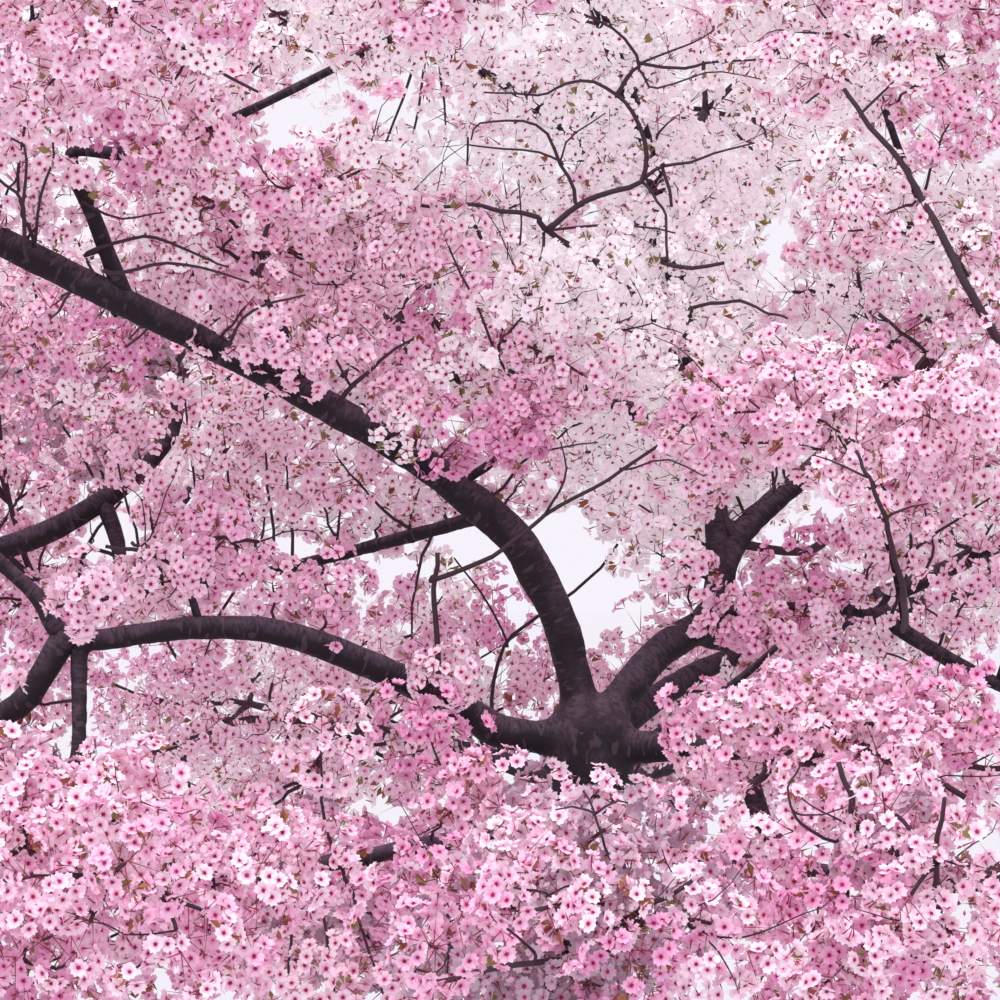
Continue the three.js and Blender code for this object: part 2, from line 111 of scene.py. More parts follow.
# What the scene carries further than the solids do
CORE_SHARE = 0.04                          # later sprays fill a space from this share of it on
FEWEST_TRIES = 30
SHOOTS_LATER = 3                           # side twigs that a joint may carry then
BOX_GROWTH = 0.03                          # how far the looks may stand out of the solids' box
BOX_ROOM = 0.010
SPRAY_ROOM = 0.120
OPEN_MARGIN = 0.65                         # of a spray's radius that is kept out of an open place
GOLDEN_TURN = math.pi * (3 - math.sqrt(5))
BARE_RINGS = 4

# The photograph's view: level, square to the tree, a little left of the fork
VIEW_OFFSET = Vector((-0.198, -8.0, 0.517))
VIEW_WIDTH = 2.2                           # what the frame is wide at the depth of the fork
SENSOR = 36.0

# How pale a spray is: far ones and near ones high up are dealt lighter shades, painted light, and
# those in shade darker, greyer ones, painted shade
NEAR, MIDDLE, FAR, HIGH, DUSK = 0, 1, 2, 3, 4
# Near sprays higher than this are dealt the lighter shades of the HIGH tint: painted light.
HIGH_FROM = 0.52                           # above the fork

# Every limb: what carries it, where on that limb's route it leaves (counted in places), its
# radii at the root and the tip, and the places that it passes. In this table and the next ones
# radii and places are in millimetres, and places count from the fork.
LIMBS = (
    ("bough_upper_left", "trunk", 2, (43, 31), ((-99, -20, 319), (-274, -60, 539),
     (-662, -150, 765), (-1400, -330, 1140))),
    ("bough_upper_right", "trunk", 2, (44, 24), ((146, 60, 173), (267, 130, 267), (321, 200, 404),
     (417, 280, 506), (680, 450, 720))),
    ("bough_left", "trunk", 1.99, (42, 15), ((-198, -50, 8), (-296, -80, 75), (-627, -200, 223),
     (-837, -260, 249), (-1094, -330, 222), (-1187, -345, 328), (-1385, -370, 500))),
    ("bough_right", "trunk", 1.98, (44, 27), ((192, -120, -14), (320, -370, -8))),
    ("limb_top_left", "bough_upper_left", 3.48, (20, 8), ((-1051, -285, 1090), (-1101, -330, 1245),
     (-954, -360, 1246), (-741, -400, 1322), (-347, -480, 1510))),
    ("limb_top_left_front", "bough_upper_left", 3.85, (15, 10), ((-1290, -480, 1250),
     (-1210, -640, 1370))),
    ("limb_over_left", "bough_upper_left", 2.95, (12, 8), ((-648, -190, 850), (-690, -170, 930))),
    ("limb_over_middle", "bough_upper_left", 2.05, (11, 8), ((-200, -95, 610), (-140, -100, 690))),
    ("limb_behind_middle", "bough_upper_left", 2.4, (19, 12), ((-410, 40, 740), (-440, 440, 880))),
    ("limb_behind_left", "bough_upper_left", 1.75, (19, 12), ((-376, 100, 445), (-697, 250, 358),
     (-1078, 430, 290))),
    ("limb_hanging_left", "bough_left", 4.95, (20, 13), ((-1082, -350, 96), (-1085, -365, -20),
     (-1130, -368, -110))),
    ("limb_spur_left", "bough_left", 4, (10, 7), ((-850, -262, 300), (-868, -250, 335))),
    ("limb_right_arching", "bough_upper_right", 2, (25, 15), ((469, 90, 268), (578, 60, 282),
     (664, 40, 245), (824, -10, 148), (1010, -60, 60))),
    ("limb_right_rising", "limb_right_arching", 3.25, (9, 6), ((671, 0, 363), (620, -120, 500))),
    ("limb_high_right", "limb_right_arching", 4.4, (13, 8), ((1010, -20, 480), (909, 0, 858),
     (726, 0, 1177), (640, 50, 1420))),
    ("limb_right_front", "limb_right_arching", 4.7, (14, 9), ((1080, -300, 230),
     (1220, -640, 420))),
    ("bough_right_back", "bough_upper_right", 1.5, (31, 20), ((392, 250, 215), (879, 400, 378),
     (1300, 380, 640))),
    ("leader", "bough_upper_right", 2.6, (31, 18), ((272, 330, 677), (160, 400, 1250),
     (-90, 160, 1930))),
    ("bough_back", "leader", 0.6, (24, 15), ((300, 800, 620), (280, 1270, 660))),
    ("bough_back_left", "leader", 1, (24, 15), ((-200, 700, 800), (-900, 1130, 830))),
    ("limb_top_back_left", "leader", 1.7, (18, 11), ((-60, 520, 1400), (-380, 680, 1620))),
    ("limb_top_back_right", "leader", 1.4, (17, 11), ((240, 600, 1270), (290, 850, 1440))),
    ("limb_back_right", "trunk", 1.95, (33, 18), ((330, 420, 150), (950, 1010, 290))),
    ("limb_back_left_low", "trunk", 1.84, (28, 17), ((-260, 330, -60), (-560, 760, -30))),
    ("limb_back_low", "trunk", 1.74, (25, 15), ((100, 350, -130), (260, 720, -110))),
    ("limb_front_left", "trunk", 1.8, (26, 16), ((-250, -330, -190), (-680, -960, -210))),
    ("limb_front_right", "trunk", 1.7, (25, 15), ((280, -420, -230), (620, -1000, -225))),
    ("limb_front", "trunk", 1.62, (23, 14), ((-20, -350, -250), (-70, -800, -270))),
    ("limb_under_left", "trunk", 1.55, (16, 10), ((-150, -110, -330), (-280, -220, -360))),
)

# Every mass of blossom: the limb whose tip carries it, its tint, the middle of its space
# and the half sizes of that space along X, Y and Z.
MASSES = (
    ("blossom_far_left", "bough_upper_left", NEAR, (-1800, -400, 1200), (500, 650, 400)),
    ("blossom_left", "bough_left", NEAR, (-1800, -450, 520), (500, 600, 400)),
    ("blossom_left_low", "limb_hanging_left", NEAR, (-1430, -350, -200), (470, 430, 310)),
    ("blossom_on_bough_left", "limb_spur_left", NEAR, (-870, -240, 420), (330, 190, 150)),
    ("blossom_top_front", "limb_top_left", NEAR, (-280, -720, 1720), (460, 470, 390)),
    ("blossom_top_left", "limb_top_left_front", NEAR, (-950, -950, 1550), (620, 520, 400)),
    ("blossom_over_left", "limb_over_left", NEAR, (-700, -100, 1120), (460, 380, 300)),
    ("blossom_over_middle", "limb_over_middle", NEAR, (-140, 0, 900), (390, 400, 290)),
    ("blossom_behind_middle", "limb_behind_middle", MIDDLE, (-420, 850, 1020), (580, 450, 460)),
    ("blossom_behind_left", "limb_behind_left", MIDDLE, (-1400, 660, 420), (600, 490, 480)),
    ("blossom_upper_right", "bough_upper_right", MIDDLE, (900, 600, 950), (550, 500, 450)),
    ("blossom_right_middle", "limb_right_rising", NEAR, (520, -300, 660), (450, 340, 280)),
    ("blossom_far_right", "limb_right_arching", NEAR, (1420, -220, 20), (520, 520, 360)),
    ("blossom_high_right", "limb_high_right", MIDDLE, (800, 80, 1720), (660, 560, 470)),
    ("blossom_right_front", "limb_right_front", NEAR, (1380, -980, 580), (480, 520, 420)),
    ("blossom_right_back", "bough_right_back", FAR, (1700, 300, 800), (500, 600, 420)),
    ("blossom_right_low", "bough_right", NEAR, (560, -620, -30), (460, 380, 260)),
    ("blossom_front_left", "limb_front_left", NEAR, (-1050, -1200, -200), (580, 500, 310)),
    ("blossom_front", "limb_front", NEAR, (-100, -1200, -250), (520, 500, 290)),
    ("blossom_front_right", "limb_front_right", NEAR, (850, -1300, -140), (520, 450, 340)),
    ("blossom_under_left", "limb_under_left", NEAR, (-600, -400, -300), (440, 370, 270)),
    ("blossom_back_left_low", "limb_back_left_low", MIDDLE, (-820, 1050, 10), (680, 500, 400)),
    ("blossom_back_low", "limb_back_low", MIDDLE, (420, 1100, -50), (620, 500, 360)),
    ("blossom_back_right", "limb_back_right", FAR, (1200, 1300, 370), (580, 500, 450)),
    ("blossom_back_left", "bough_back_left", FAR, (-1250, 1400, 950), (660, 500, 480)),
    ("blossom_back", "bough_back", FAR, (300, 1600, 800), (700, 500, 480)),
    ("blossom_top_back_left", "limb_top_back_left", FAR, (-780, 750, 1680), (680, 560, 480)),
    ("blossom_top_back_right", "limb_top_back_right", FAR, (330, 1050, 1480), (680, 500, 500)),
    ("blossom_top", "leader", MIDDLE, (-180, 0, 2240), (640, 560, 430)),
)

# Limbs that carry short flowering side twigs: the shares of its length that they stand between,
# the way along it from one to the next and how far out they reach, both in metres, and their
# tint. The boughs that the photograph shows bare carry none.
SHORT, LONG = (0.055, 0.130), (0.100, 0.280)
LEAFY_LIMBS = (
    ("limb_top_left", 0.35, 1.0, 0.085, LONG, NEAR),
    ("limb_behind_middle", 0.2, 1.0, 0.07, LONG, MIDDLE),
    ("limb_behind_left", 0.2, 1.0, 0.06, LONG, MIDDLE),
    ("limb_right_arching", 0.86, 1.0, 0.085, LONG, NEAR),
    ("limb_right_front", 0.3, 1.0, 0.085, LONG, NEAR),
    ("limb_high_right", 0.55, 1.0, 0.1, LONG, MIDDLE),
    ("bough_upper_right", 0.8, 1.0, 0.07, LONG, MIDDLE),
    ("bough_right_back", 0.2, 1.0, 0.07, LONG, MIDDLE),
    ("leader", 0.14, 0.97, 0.035, SHORT, FAR),
    ("bough_back", 0.1, 1.0, 0.07, LONG, FAR),
    ("bough_back_left", 0.1, 1.0, 0.06, LONG, FAR),
    ("limb_top_back_left", 0.1, 1.0, 0.045, SHORT, FAR),
    ("limb_top_back_right", 0.1, 1.0, 0.05, SHORT, FAR),
    ("limb_back_right", 0.3, 1.0, 0.085, LONG, MIDDLE),
    ("limb_back_left_low", 0.3, 1.0, 0.07, LONG, MIDDLE),
    ("limb_back_low", 0.35, 1.0, 0.085, LONG, MIDDLE),
    ("limb_front_left", 0.45, 1.0, 0.085, LONG, NEAR),
    ("limb_front_right", 0.45, 1.0, 0.07, SHORT, NEAR),
    ("limb_front", 0.45, 1.0, 0.085, LONG, NEAR),
    ("limb_under_left", 0.35, 1.0, 0.085, LONG, NEAR),
)
SIDE_RISE = 0.30                           # how far side twigs turn up
SIDE_LEAN = 0.45                           # and along their limb
SIDE_TURN = 0.7                            # how soon they turn out of the limb's own way
SIDE_RADII = (0.080, 0.115)
SIDE_RADIUS = 0.0042                       # of a side twig's wood where it leaves the limb
SIDE_CLEAR = 0.6                           # of a side spray's radius that keeps clear of limbs
CROWDED = -0.06                            # side sprays deeper than this in a mass are left out
WAY_REACH = 0.05                           # a limb's way is read this far before and behind
FOOT_FROM = 8                              # hundredths of a limb that single sprays leave free

# Single sprays that the photograph shows: the limb that carries them, their tint, and the
# middle and the radius of each
SINGLE_SPRAYS = (
    ("bough_left", NEAR, ((-325, -190, 135, 70), (-560, -160, 300, 85), (-690, -130, 330, 70),
     (-1060, -420, 322, 75))),
    ("limb_spur_left", NEAR, ((-852, -200, 378, 100), (-930, -230, 350, 85),
     (-790, -220, 430, 80))),
    ("bough_upper_left", NEAR, ((-1210, -340, 1210, 95), (-1140, -320, 1150, 85),
     (-1260, -370, 1320, 95), (-660, -270, 830, 95), (-740, -250, 930, 95), (-560, -220, 880, 85),
     (-300, -160, 640, 80))),
    ("bough_upper_left", MIDDLE, ((-150, 20, 560, 85),)),
    ("bough_upper_right", FAR, ((150, 100, 400, 95), (90, 160, 520, 100))),
    ("bough_upper_right", NEAR, ((220, 20, 330, 85),)),
    ("bough_upper_right", MIDDLE, ((250, 60, 580, 90),)),
    ("bough_upper_right", NEAR, ((400, 100, 690, 95), (260, 120, 680, 100))),
    ("limb_right_arching", NEAR, ((470, 0, 360, 90), (620, -40, 400, 80), (830, -60, 320, 85))),
    ("limb_back_left_low", MIDDLE, ((-200, 550, 80, 100), (-80, 600, 100, 100),
     (-330, 500, 140, 100), (-250, 900, 230, 95), (-340, 950, 280, 95), (-150, 920, 190, 95))),
    ("bough_back_left", FAR, ((-960, 1000, 660, 105), (-850, 950, 600, 100),
     (-1060, 1000, 570, 105), (-740, 920, 680, 100))),
    ("limb_behind_left", MIDDLE, ((-460, 250, 500, 95), (-560, 280, 540, 95))),
    ("limb_behind_left", FAR, ((-380, 220, 560, 90),)),
    ("limb_top_back_left", FAR, ((-330, 900, 1420, 105), (-250, 850, 1500, 105),
     (-420, 950, 1320, 100), (-280, 900, 1280, 105), (-300, 800, 1600, 100),
     (-520, 950, 1280, 100))),
    ("limb_over_middle", NEAR, ((-308, -200, 1060, 95),)),
    ("limb_high_right", NEAR, ((469, -50, 1468, 85), (611, -50, 1556, 80), (567, -100, 1228, 90),
     (644, -120, 1140, 85), (732, -80, 1435, 80), (808, -100, 1050, 85), (863, -120, 880, 90))),
    ("limb_front_right", NEAR, ((440, -1200, -360, 95), (500, -1200, -220, 95),
     (520, -1200, -320, 100), (600, -1200, -400, 95))),
    ("limb_front", NEAR, ((150, -800, -130, 90),)),
    ("limb_front_left", NEAR, ((-920, -1100, -400, 100), (-770, -1080, -420, 95),
     (-1080, -1100, -370, 95))),
    ("limb_front_right", NEAR, ((420, -1100, -290, 100), (400, -1100, -420, 90),
     (500, -1150, -360, 100), (360, -950, -120, 95), (460, -1000, -100, 100),
     (550, -1050, -160, 95), (300, -900, -220, 100))),
    ("limb_behind_left", MIDDLE, ((-1030, 380, 625, 90), (-930, 400, 800, 95),
     (-1090, 360, 660, 85))),
    ("limb_top_left", NEAR, ((-885, -460, 1250, 80), (-800, -480, 1262, 75),
     (-480, -550, 1450, 60), (-960, -420, 1262, 65))),
    ("limb_behind_middle", NEAR, ((-411, -120, 734, 62), (-415, -80, 821, 68),
     (-404, -120, 680, 55))),
    ("limb_over_middle", NEAR, ((-133, -220, 715, 62), (-165, -220, 660, 52))),
    ("bough_upper_left", MIDDLE, ((-1050, 100, 860, 105), (-1200, 120, 950, 110),
     (-1350, 100, 1020, 110), (-1500, 80, 980, 115), (-1450, 220, 900, 110),
     (-1280, 240, 860, 110), (-1120, 270, 800, 105), (-1620, 20, 880, 110),
     (-1560, -140, 900, 105), (-1400, -80, 860, 105))),
    ("bough_right", NEAR, ((228, -480, 58, 68), (266, -520, 18, 80), (328, -520, 62, 75),
     (250, -480, -28, 62))),
    ("limb_right_arching", NEAR, ((326, -20, 249, 60), (385, -30, 212, 65), (462, -30, 262, 60),
     (430, -20, 180, 65))),
    ("limb_behind_left", MIDDLE, ((-830, 330, 660, 95),)),
    ("limb_behind_left", NEAR, ((-740, 350, 700, 95), (-780, 300, 590, 95))),
    ("limb_behind_left", MIDDLE, ((-690, 330, 620, 95),)),
    ("limb_behind_left", NEAR, ((-880, 330, 590, 90),)),
    ("limb_front_left", NEAR, ((-525, -800, -460, 100), (-620, -820, -475, 100),
     (-430, -780, -465, 95))),
    ("limb_front_right", NEAR, ((330, -700, -440, 100), (420, -720, -455, 100),
     (510, -760, -450, 95))),
    ("limb_hanging_left", MIDDLE, ((-1230, -250, 80, 90), (-1270, -200, -30, 90))),
)

# Places that the photograph shows free of blossom, in metres at the depth of the fork: middle
# and half sizes, left to right and up, and how far behind the fork nothing may stand in the way
BEHIND_ALL = 9.0
OPEN_PLACES = (
    ((0.033, 0.325), (0.085, 0.080), BEHIND_ALL), ((-0.250, 0.350), (0.070, 0.050), BEHIND_ALL),
    ((-1.010, 0.505), (0.030, 0.030), BEHIND_ALL), ((-0.640, 1.350), (0.080, 0.040), BEHIND_ALL),
    ((0.845, -0.190), (0.045, 0.050), BEHIND_ALL), ((-0.110, 0.340), (0.070, 0.060), 0.90),
    ((0.340, 0.420), (0.080, 0.090), 0.45), ((0.430, 0.500), (0.090, 0.070), 0.45),
    ((0.242, -0.165), (0.060, 0.065), -0.25), ((0.365, -0.135), (0.040, 0.065), -0.50),
    ((0.230, 0.290), (0.050, 0.050), 0.15), ((0.590, 0.255), (0.130, 0.045), 0.10),
    ((-0.561, 0.381), (0.170, 0.028), 0.28), ((-1.130, 0.500), (0.120, 0.060), 0.60),
    ((-1.096, 1.175), (0.022, 0.075), -0.30), ((-1.060, 1.060), (0.022, 0.040), -0.27),
)

# Places that the photograph shows pale, seen the same way: middle and half sizes. Sprays there take
# the far tint, whose pale shades are painted light.
PALE_PLACES = (((0.154, 1.287), (0.620, 0.430)), ((0.682, 1.221), (0.310, 0.340)))

# Places that it shows in shade, with how far behind the fork the shade begins. Sprays there get the
# dusky petals: painted shade.
DUSKY_PLACES = (
    ((0.022, -0.341), (0.730, 0.290), -1.38), ((-1.144, 0.781), (0.220, 0.200), 0.0),
    ((-1.210, 0.077), (0.130, 0.220), -0.50),
)

# Bare wood that the photograph shows: its radii at both ends and its places
BARE_LIMBS = (
    ((30, 25), ((-1110, -333, 235), (-1160, -330, 150), (-1220, -320, 80), (-1340, -300, 30))),
    ((16, 20), ((-1070, 420, 300), (-1085, 440, 420), (-1120, 460, 510))),
    ((17, 29), ((-950, 520, 770), (-970, 500, 670), (-1050, 470, 575), (-1130, 460, 515),
     (-1260, 440, 440), (-1370, 420, 400))),
    ((16, 10), ((-740, 1030, 825), (-900, 950, 620), (-1050, 900, 400), (-1100, 870, 250))),
    ((13, 7), ((120, -60, -12), (300, -100, 110), (400, -140, 200))),
    ((24, 20), ((310, -360, -10), (325, -420, -80), (350, -470, -160), (410, -540, -240))),
)
BARE_TWIGS = (
    ((5, 3), ((-215, 220, 40), (-184, 250, 193), (-64, 250, 283), (24, 250, 360), (70, 260, 420))),
    ((3.5, 2), ((-184, 250, 193), (-243, 240, 306), (-300, 220, 390))),
    ((7.5, 5), ((-337, -115, 105), (-333, -150, 235), (-340, -170, 330), (-335, -180, 400))),
    ((6.5, 3.5), ((-338, -170, 345), (-215, -240, 395), (-100, -270, 485), (66, -300, 580),
     (236, -340, 710))),
    ((3.5, 1.5), ((-100, -270, 485), (-60, -300, 560), (-70, -330, 640))),
    ((3.5, 1.5), ((66, -300, 580), (150, -340, 600), (230, -360, 570))),
    ((9, 3), ((-560, -120, 700), (-520, -190, 760), (-470, -240, 800), (-380, -270, 860))),
    ((4, 1.5), ((-520, -190, 760), (-560, -230, 850), (-610, -250, 900))),
    ((6, 2), ((-1075, -280, 1040), (-960, -360, 1070), (-850, -420, 1040), (-760, -450, 1000))),
    ((5, 1.5), ((-1085, -310, 1150), (-990, -380, 1110), (-900, -420, 1120))),
    ((6, 2), ((-1180, -290, 1040), (-1210, -360, 1180), (-1190, -420, 1300), (-1240, -460, 1400))),
    ((6, 2), ((664, 20, 250), (700, -60, 420), (620, -100, 560), (560, -140, 640))),
    ((5, 2), ((690, -50, 400), (790, -100, 470), (860, -140, 520))),
    ((5, 1.5), ((-200, -60, 540), (-120, -120, 620), (10, -160, 640))),
    ((9, 3), ((250, 340, 760), (100, 260, 1000), (-91, 120, 1115), (-122, 100, 1147),
     (-200, 80, 1161), (-278, 60, 1173), (-355, 40, 1167), (-430, 20, 1170), (-494, 20, 1157))),
    ((7.5, 2), ((-91, 120, 1115), (-26, 120, 1174), (45, 110, 1206), (116, 100, 1230),
     (125, 90, 1293), (102, 80, 1364), (64, 70, 1414), (6, 60, 1443), (-59, 50, 1438),
     (-105, 50, 1411), (-163, 40, 1417), (-233, 40, 1417))),
    ((5.5, 2.5), ((64, 70, 1414), (95, 60, 1466), (114, 50, 1489), (70, 40, 1545), (16, 30, 1577),
     (-41, 30, 1595))),
    ((5.5, 2), ((-26, 120, 1174), (-33, 110, 1220), (-64, 100, 1270), (-91, 90, 1327),
     (-136, 80, 1357), (-200, 70, 1356), (-245, 70, 1351), (-264, 60, 1311))),
    ((9.5, 3.5), ((690, 0, 232), (646, -380, 318), (604, -560, 419), (577, -620, 497),
     (546, -650, 563), (523, -660, 618))),
    ((8, 5), ((480, -1100, -100), (452, -1280, -36), (438, -1300, -8), (425, -1300, 34))),
    ((4, 2), ((440, -1100, -130), (369, -1280, -86), (342, -1310, -50), (334, -1310, -12),
     (353, -1300, 27))),
    ((3, 1.5), ((470, -1150, -110), (423, -1300, -71), (355, -1310, -32))),
    ((3, 1.5), ((340, -1300, -60), (379, -1310, -63), (441, -1310, -47))),
    ((5.5, 2), ((-1035, -290, 1000), (-990, -400, 992), (-886, -440, 1005), (-792, -460, 992),
     (-719, -470, 965))),
    ((5, 2), ((-780, -220, 830), (-735, -350, 900), (-661, -370, 938), (-608, -380, 942))),
    ((3.5, 2), ((10, -1300, -160), (-4, -1420, -111), (-27, -1450, -60), (-47, -1460, -5))),
    ((3, 1.5), ((-27, -1450, -50), (-60, -1460, -34), (-100, -1470, -40))),
    ((3, 1.5), ((-27, -1450, -50), (5, -1460, -28), (35, -1470, -27))),
    ((4, 2), ((-20, -1300, -260), (-52, -1460, -234), (-117, -1490, -190), (-173, -1500, -176))),
    ((3, 1.5), ((-117, -1490, -190), (-85, -1510, -172), (-50, -1510, -165))),
    ((6.5, 5), ((-90, -1300, -330), (-164, -1460, -320), (-260, -1480, -338),
     (-342, -1460, -354))),
    ((3.5, 1.5), ((-355, -1470, -325), (-306, -1490, -333), (-284, -1500, -281))),
    ((3.5, 2), ((-140, -1400, -300), (-173, -1500, -261), (-221, -1520, -217))),
    ((6, 3), ((-1193, -300, 1020), (-1190, -450, 1090), (-1184, -470, 1140), (-1243, -480, 1186))),
    ((4.5, 2), ((-1188, -460, 1110), (-1178, -480, 1180), (-1180, -500, 1250),
     (-1233, -510, 1275))),
    ((4.5, 2), ((-1180, -320, 1060), (-1150, -460, 1150), (-1118, -490, 1230),
     (-1130, -500, 1290))),
    ((3.5, 2), ((-64, 100, 1270), (-111, 90, 1291), (-187, 80, 1299), (-265, 70, 1305))),
    ((3, 1.5), ((-64, 100, 1274), (-51, 90, 1313), (-14, 80, 1346), (31, 80, 1377))),
    ((3.5, 1.5), ((114, 50, 1489), (171, 40, 1508), (228, 30, 1528), (270, 20, 1554))),
    ((4.5, 2), ((114, 50, 1484), (209, 40, 1474), (259, 30, 1478), (322, 20, 1485),
     (386, 10, 1491), (431, 0, 1527))),
    ((3.5, 1.5), ((121, 50, 1464), (134, 40, 1430), (208, 30, 1442), (285, 20, 1461),
     (375, 10, 1440))),
    ((5, 2), ((116, 100, 1230), (160, 80, 1255), (223, 60, 1266), (286, 40, 1286),
     (362, 20, 1307))),
    ((4.5, 3.5), ((160, 80, 1255), (173, 70, 1216), (179, 60, 1169))),
    ((4, 3), ((116, 100, 1230), (146, 80, 1190), (172, 60, 1138), (171, 40, 1045))),
    ((4, 2), ((-91, 120, 1115), (-6, 100, 1130), (71, 80, 1128), (146, 60, 1118),
     (187, 50, 1108))),
    ((6.5, 4.5), ((165, 40, 1043), (222, 30, 1029), (298, 20, 1035))),
    ((6, 2.5), ((210, 370, 950), (267, 200, 957), (325, 60, 956), (382, -40, 933),
     (429, -80, 913))),
    ((3.5, 1.5), ((-109, 100, 1047), (-156, 40, 1072), (-150, 0, 1133), (-156, -20, 1219))),
    ((3.5, 2), ((25, 100, 1029), (5, 20, 1007), (-86, -40, 983), (-200, -80, 974))),
    ((3.5, 2), ((-397, 40, 1169), (-430, 20, 1146), (-480, 0, 1137), (-527, -20, 1118))),
    ((13, 5), ((985, -10, 600), (930, -140, 760), (864, -200, 871), (801, -220, 966),
     (754, -220, 1069), (703, -200, 1171), (671, -200, 1225), (598, -180, 1323),
     (547, -150, 1402))),
    ((4, 1.5), ((581, -170, 1348), (631, -170, 1396), (671, -160, 1440), (719, -150, 1463))),
    ((4, 1.5), ((546, -650, 563), (484, -660, 592), (432, -660, 606))),
    ((4.5, 1.5), ((584, -610, 476), (623, -630, 501), (668, -640, 511))),
    ((12, 8.5), ((330, 210, 420), (485, 280, 399), (544, 300, 423), (649, 320, 490),
     (758, 340, 565))),
)


def mix(low, high, share):
    return low + (high - low) * share


def metres(values):
    """Millimetres as metres."""
    return [value / 1000 for value in values]


def from_fork(place):
    """A place that a table gives in millimetres from the fork."""
    return FORK + Vector(metres(place))


class TreeSizes(bpy.types.PropertyGroup):
    """Sizes that shape the wood and the blossom."""
    voxel: FloatProperty(
        name="Wood voxel", description="Grain of the mesh that fuses trunk and boughs",
        default=0.0075, min=0.005, unit="LENGTH")
    grain: FloatProperty(
        name="Triangles kept", description="Share of the fused wood's triangles that are kept",
        default=0.62, min=0.1, max=1, subtype="FACTOR")
    relief: FloatProperty(
        name="Bark relief", description="Depth of the bark's ridges on the trunk",
        default=0.0030, min=0, unit="LENGTH")
    sprays: FloatProperty(
        name="Sprays per cubic metre", description="How many sprays a mass tries to grow",
        default=105, min=10)
    spray_share: FloatProperty(
        name="Spray size", description="Size of a spray as a share of the solid ball it stands in",
        default=0.80, min=0.3, max=1, subtype="FACTOR")
    twig_tip: FloatProperty(
        name="Twig tip", description="Radius of a twig where it ends in a spray",
        default=0.0021, min=0.001, unit="LENGTH")
    flower: FloatProperty(
        name="Flower", description="Width of an open flower",
        default=0.035, min=0.02, unit="LENGTH")
    pedicel: FloatProperty(
        name="Flower stalk", description="Length of a flower's stalk",
        default=0.028, min=0.01, unit="LENGTH")
    leaf: FloatProperty(
        name="Young leaf", description="Length of a young leaf",
        default=0.030, min=0.01, unit="LENGTH")
    umbels: IntProperty(
        name="Umbels", description="Umbels of flowers in each spray", default=13, min=3)
    flowers: IntProperty(
        name="Flowers", description="Flowers in each umbel that faces the photograph's view",
        default=6, min=2)
    flowers_beyond: IntProperty(
        name="Flowers beyond", description="Flowers in each umbel outside that view",
        default=5, min=2)


def colour_property(name, description, default):
    """A colour that the panel's user can choose."""
    return FloatVectorProperty(name=name, description=description, default=default,
                               subtype="COLOR", size=3, min=0, max=1)


class TreeColours(bpy.types.PropertyGroup):
    """Base colours of the bark, the petals and what is between them."""
    bark_dark: colour_property("Dark bark", "Bark in its cracks", (0.004, 0.002, 0.004))
    bark_mid: colour_property("Bark", "Most of the bark", (0.014, 0.008, 0.013))
    # The lighter bark colour is painted light on the sides that face up, and it is also the colour
    # of the pale scars.
    bark_lit_and_scarred: colour_property("Lit and scarred bark", "Bark that faces up", (0.150, 0.100, 0.145))
    twig: colour_property("Twigs", "Young wood", (0.045, 0.022, 0.032))
    petal_rose: colour_property("Rose petals", "The deepest pink sprays", (0.800, 0.400, 0.620))
    petal_pink: colour_property("Pink petals", "The common pink sprays", (0.870, 0.530, 0.710))
    petal_blush: colour_property("Blush petals", "The light pink sprays", (0.920, 0.660, 0.790))
    petal_light: colour_property("Light petals", "The lightest near sprays", (0.930, 0.725, 0.830))
    # Pale and white petals are lighter copies of the pink, dealt to far sprays and pale places:
    # painted light.
    petal_pale: colour_property("Pale petals", "The pale far sprays", (0.925, 0.855, 0.893))
    petal_white: colour_property("White petals", "The whitest far sprays", (0.930, 0.900, 0.920))
    # Dusky petals are a darker, greyer copy of the pink: painted shade.
    petal_dusk: colour_property("Dusky petals", "Sprays in the shade", (0.560, 0.415, 0.505))
    throat: colour_property("Throat", "What petals turn to near the middle", (0.750, 0.090, 0.330))
    eye: colour_property("Flower middles", "The deep red middle of a flower", (0.420, 0.012, 0.110))
    stalk: colour_property("Stalks", "Stalks and cups of the flowers", (0.300, 0.050, 0.070))
    bud: colour_property("Buds", "Closed buds", (0.640, 0.080, 0.270))
    leaf_bronze: colour_property("Bronze leaves", "Young leaves, still red", (0.380, 0.135, 0.060))
    leaf_green: colour_property("Green leaves", "Leaves that turn green", (0.330, 0.260, 0.090))


SHADES = ("rose", "pink", "blush", "light", "pale", "white", "dusk")
SHADE_SLOTS = ("blossom_pink", "blossom_pink", "blossom_light_pink", "blossom_light_pink",
               "blossom_pale", "blossom_pale", "blossom_light_pink")
# how sprays are dealt over the shades, for each tint
SHADE_SHARES = ((0.13, 0.27, 0.33, 0.27, 0, 0, 0), (0.04, 0.18, 0.30, 0.26, 0.22, 0, 0),
                (0, 0, 0, 0.08, 0.40, 0.52, 0), (0.03, 0.13, 0.28, 0.40, 0.16, 0, 0),
                (0.10, 0.12, 0.10, 0.08, 0, 0, 0.60))
# Petals glow in their own colour, painted light that stands in for the light coming through them;
# the pale and white ones glow most.
SHADE_GLOWS = (0.11, 0.11, 0.12, 0.13, 0.18, 0.20, 0.06)  # light that comes through the petals
SHADE_THROATS = (0.75, 0.75, 0.75, 0.70, 0.30, 0.20, 0.45)
EYE_SHARES = (1.0, 1.0, 0.35, 1.0, 0.8)    # flowers with a red middle, for each tint


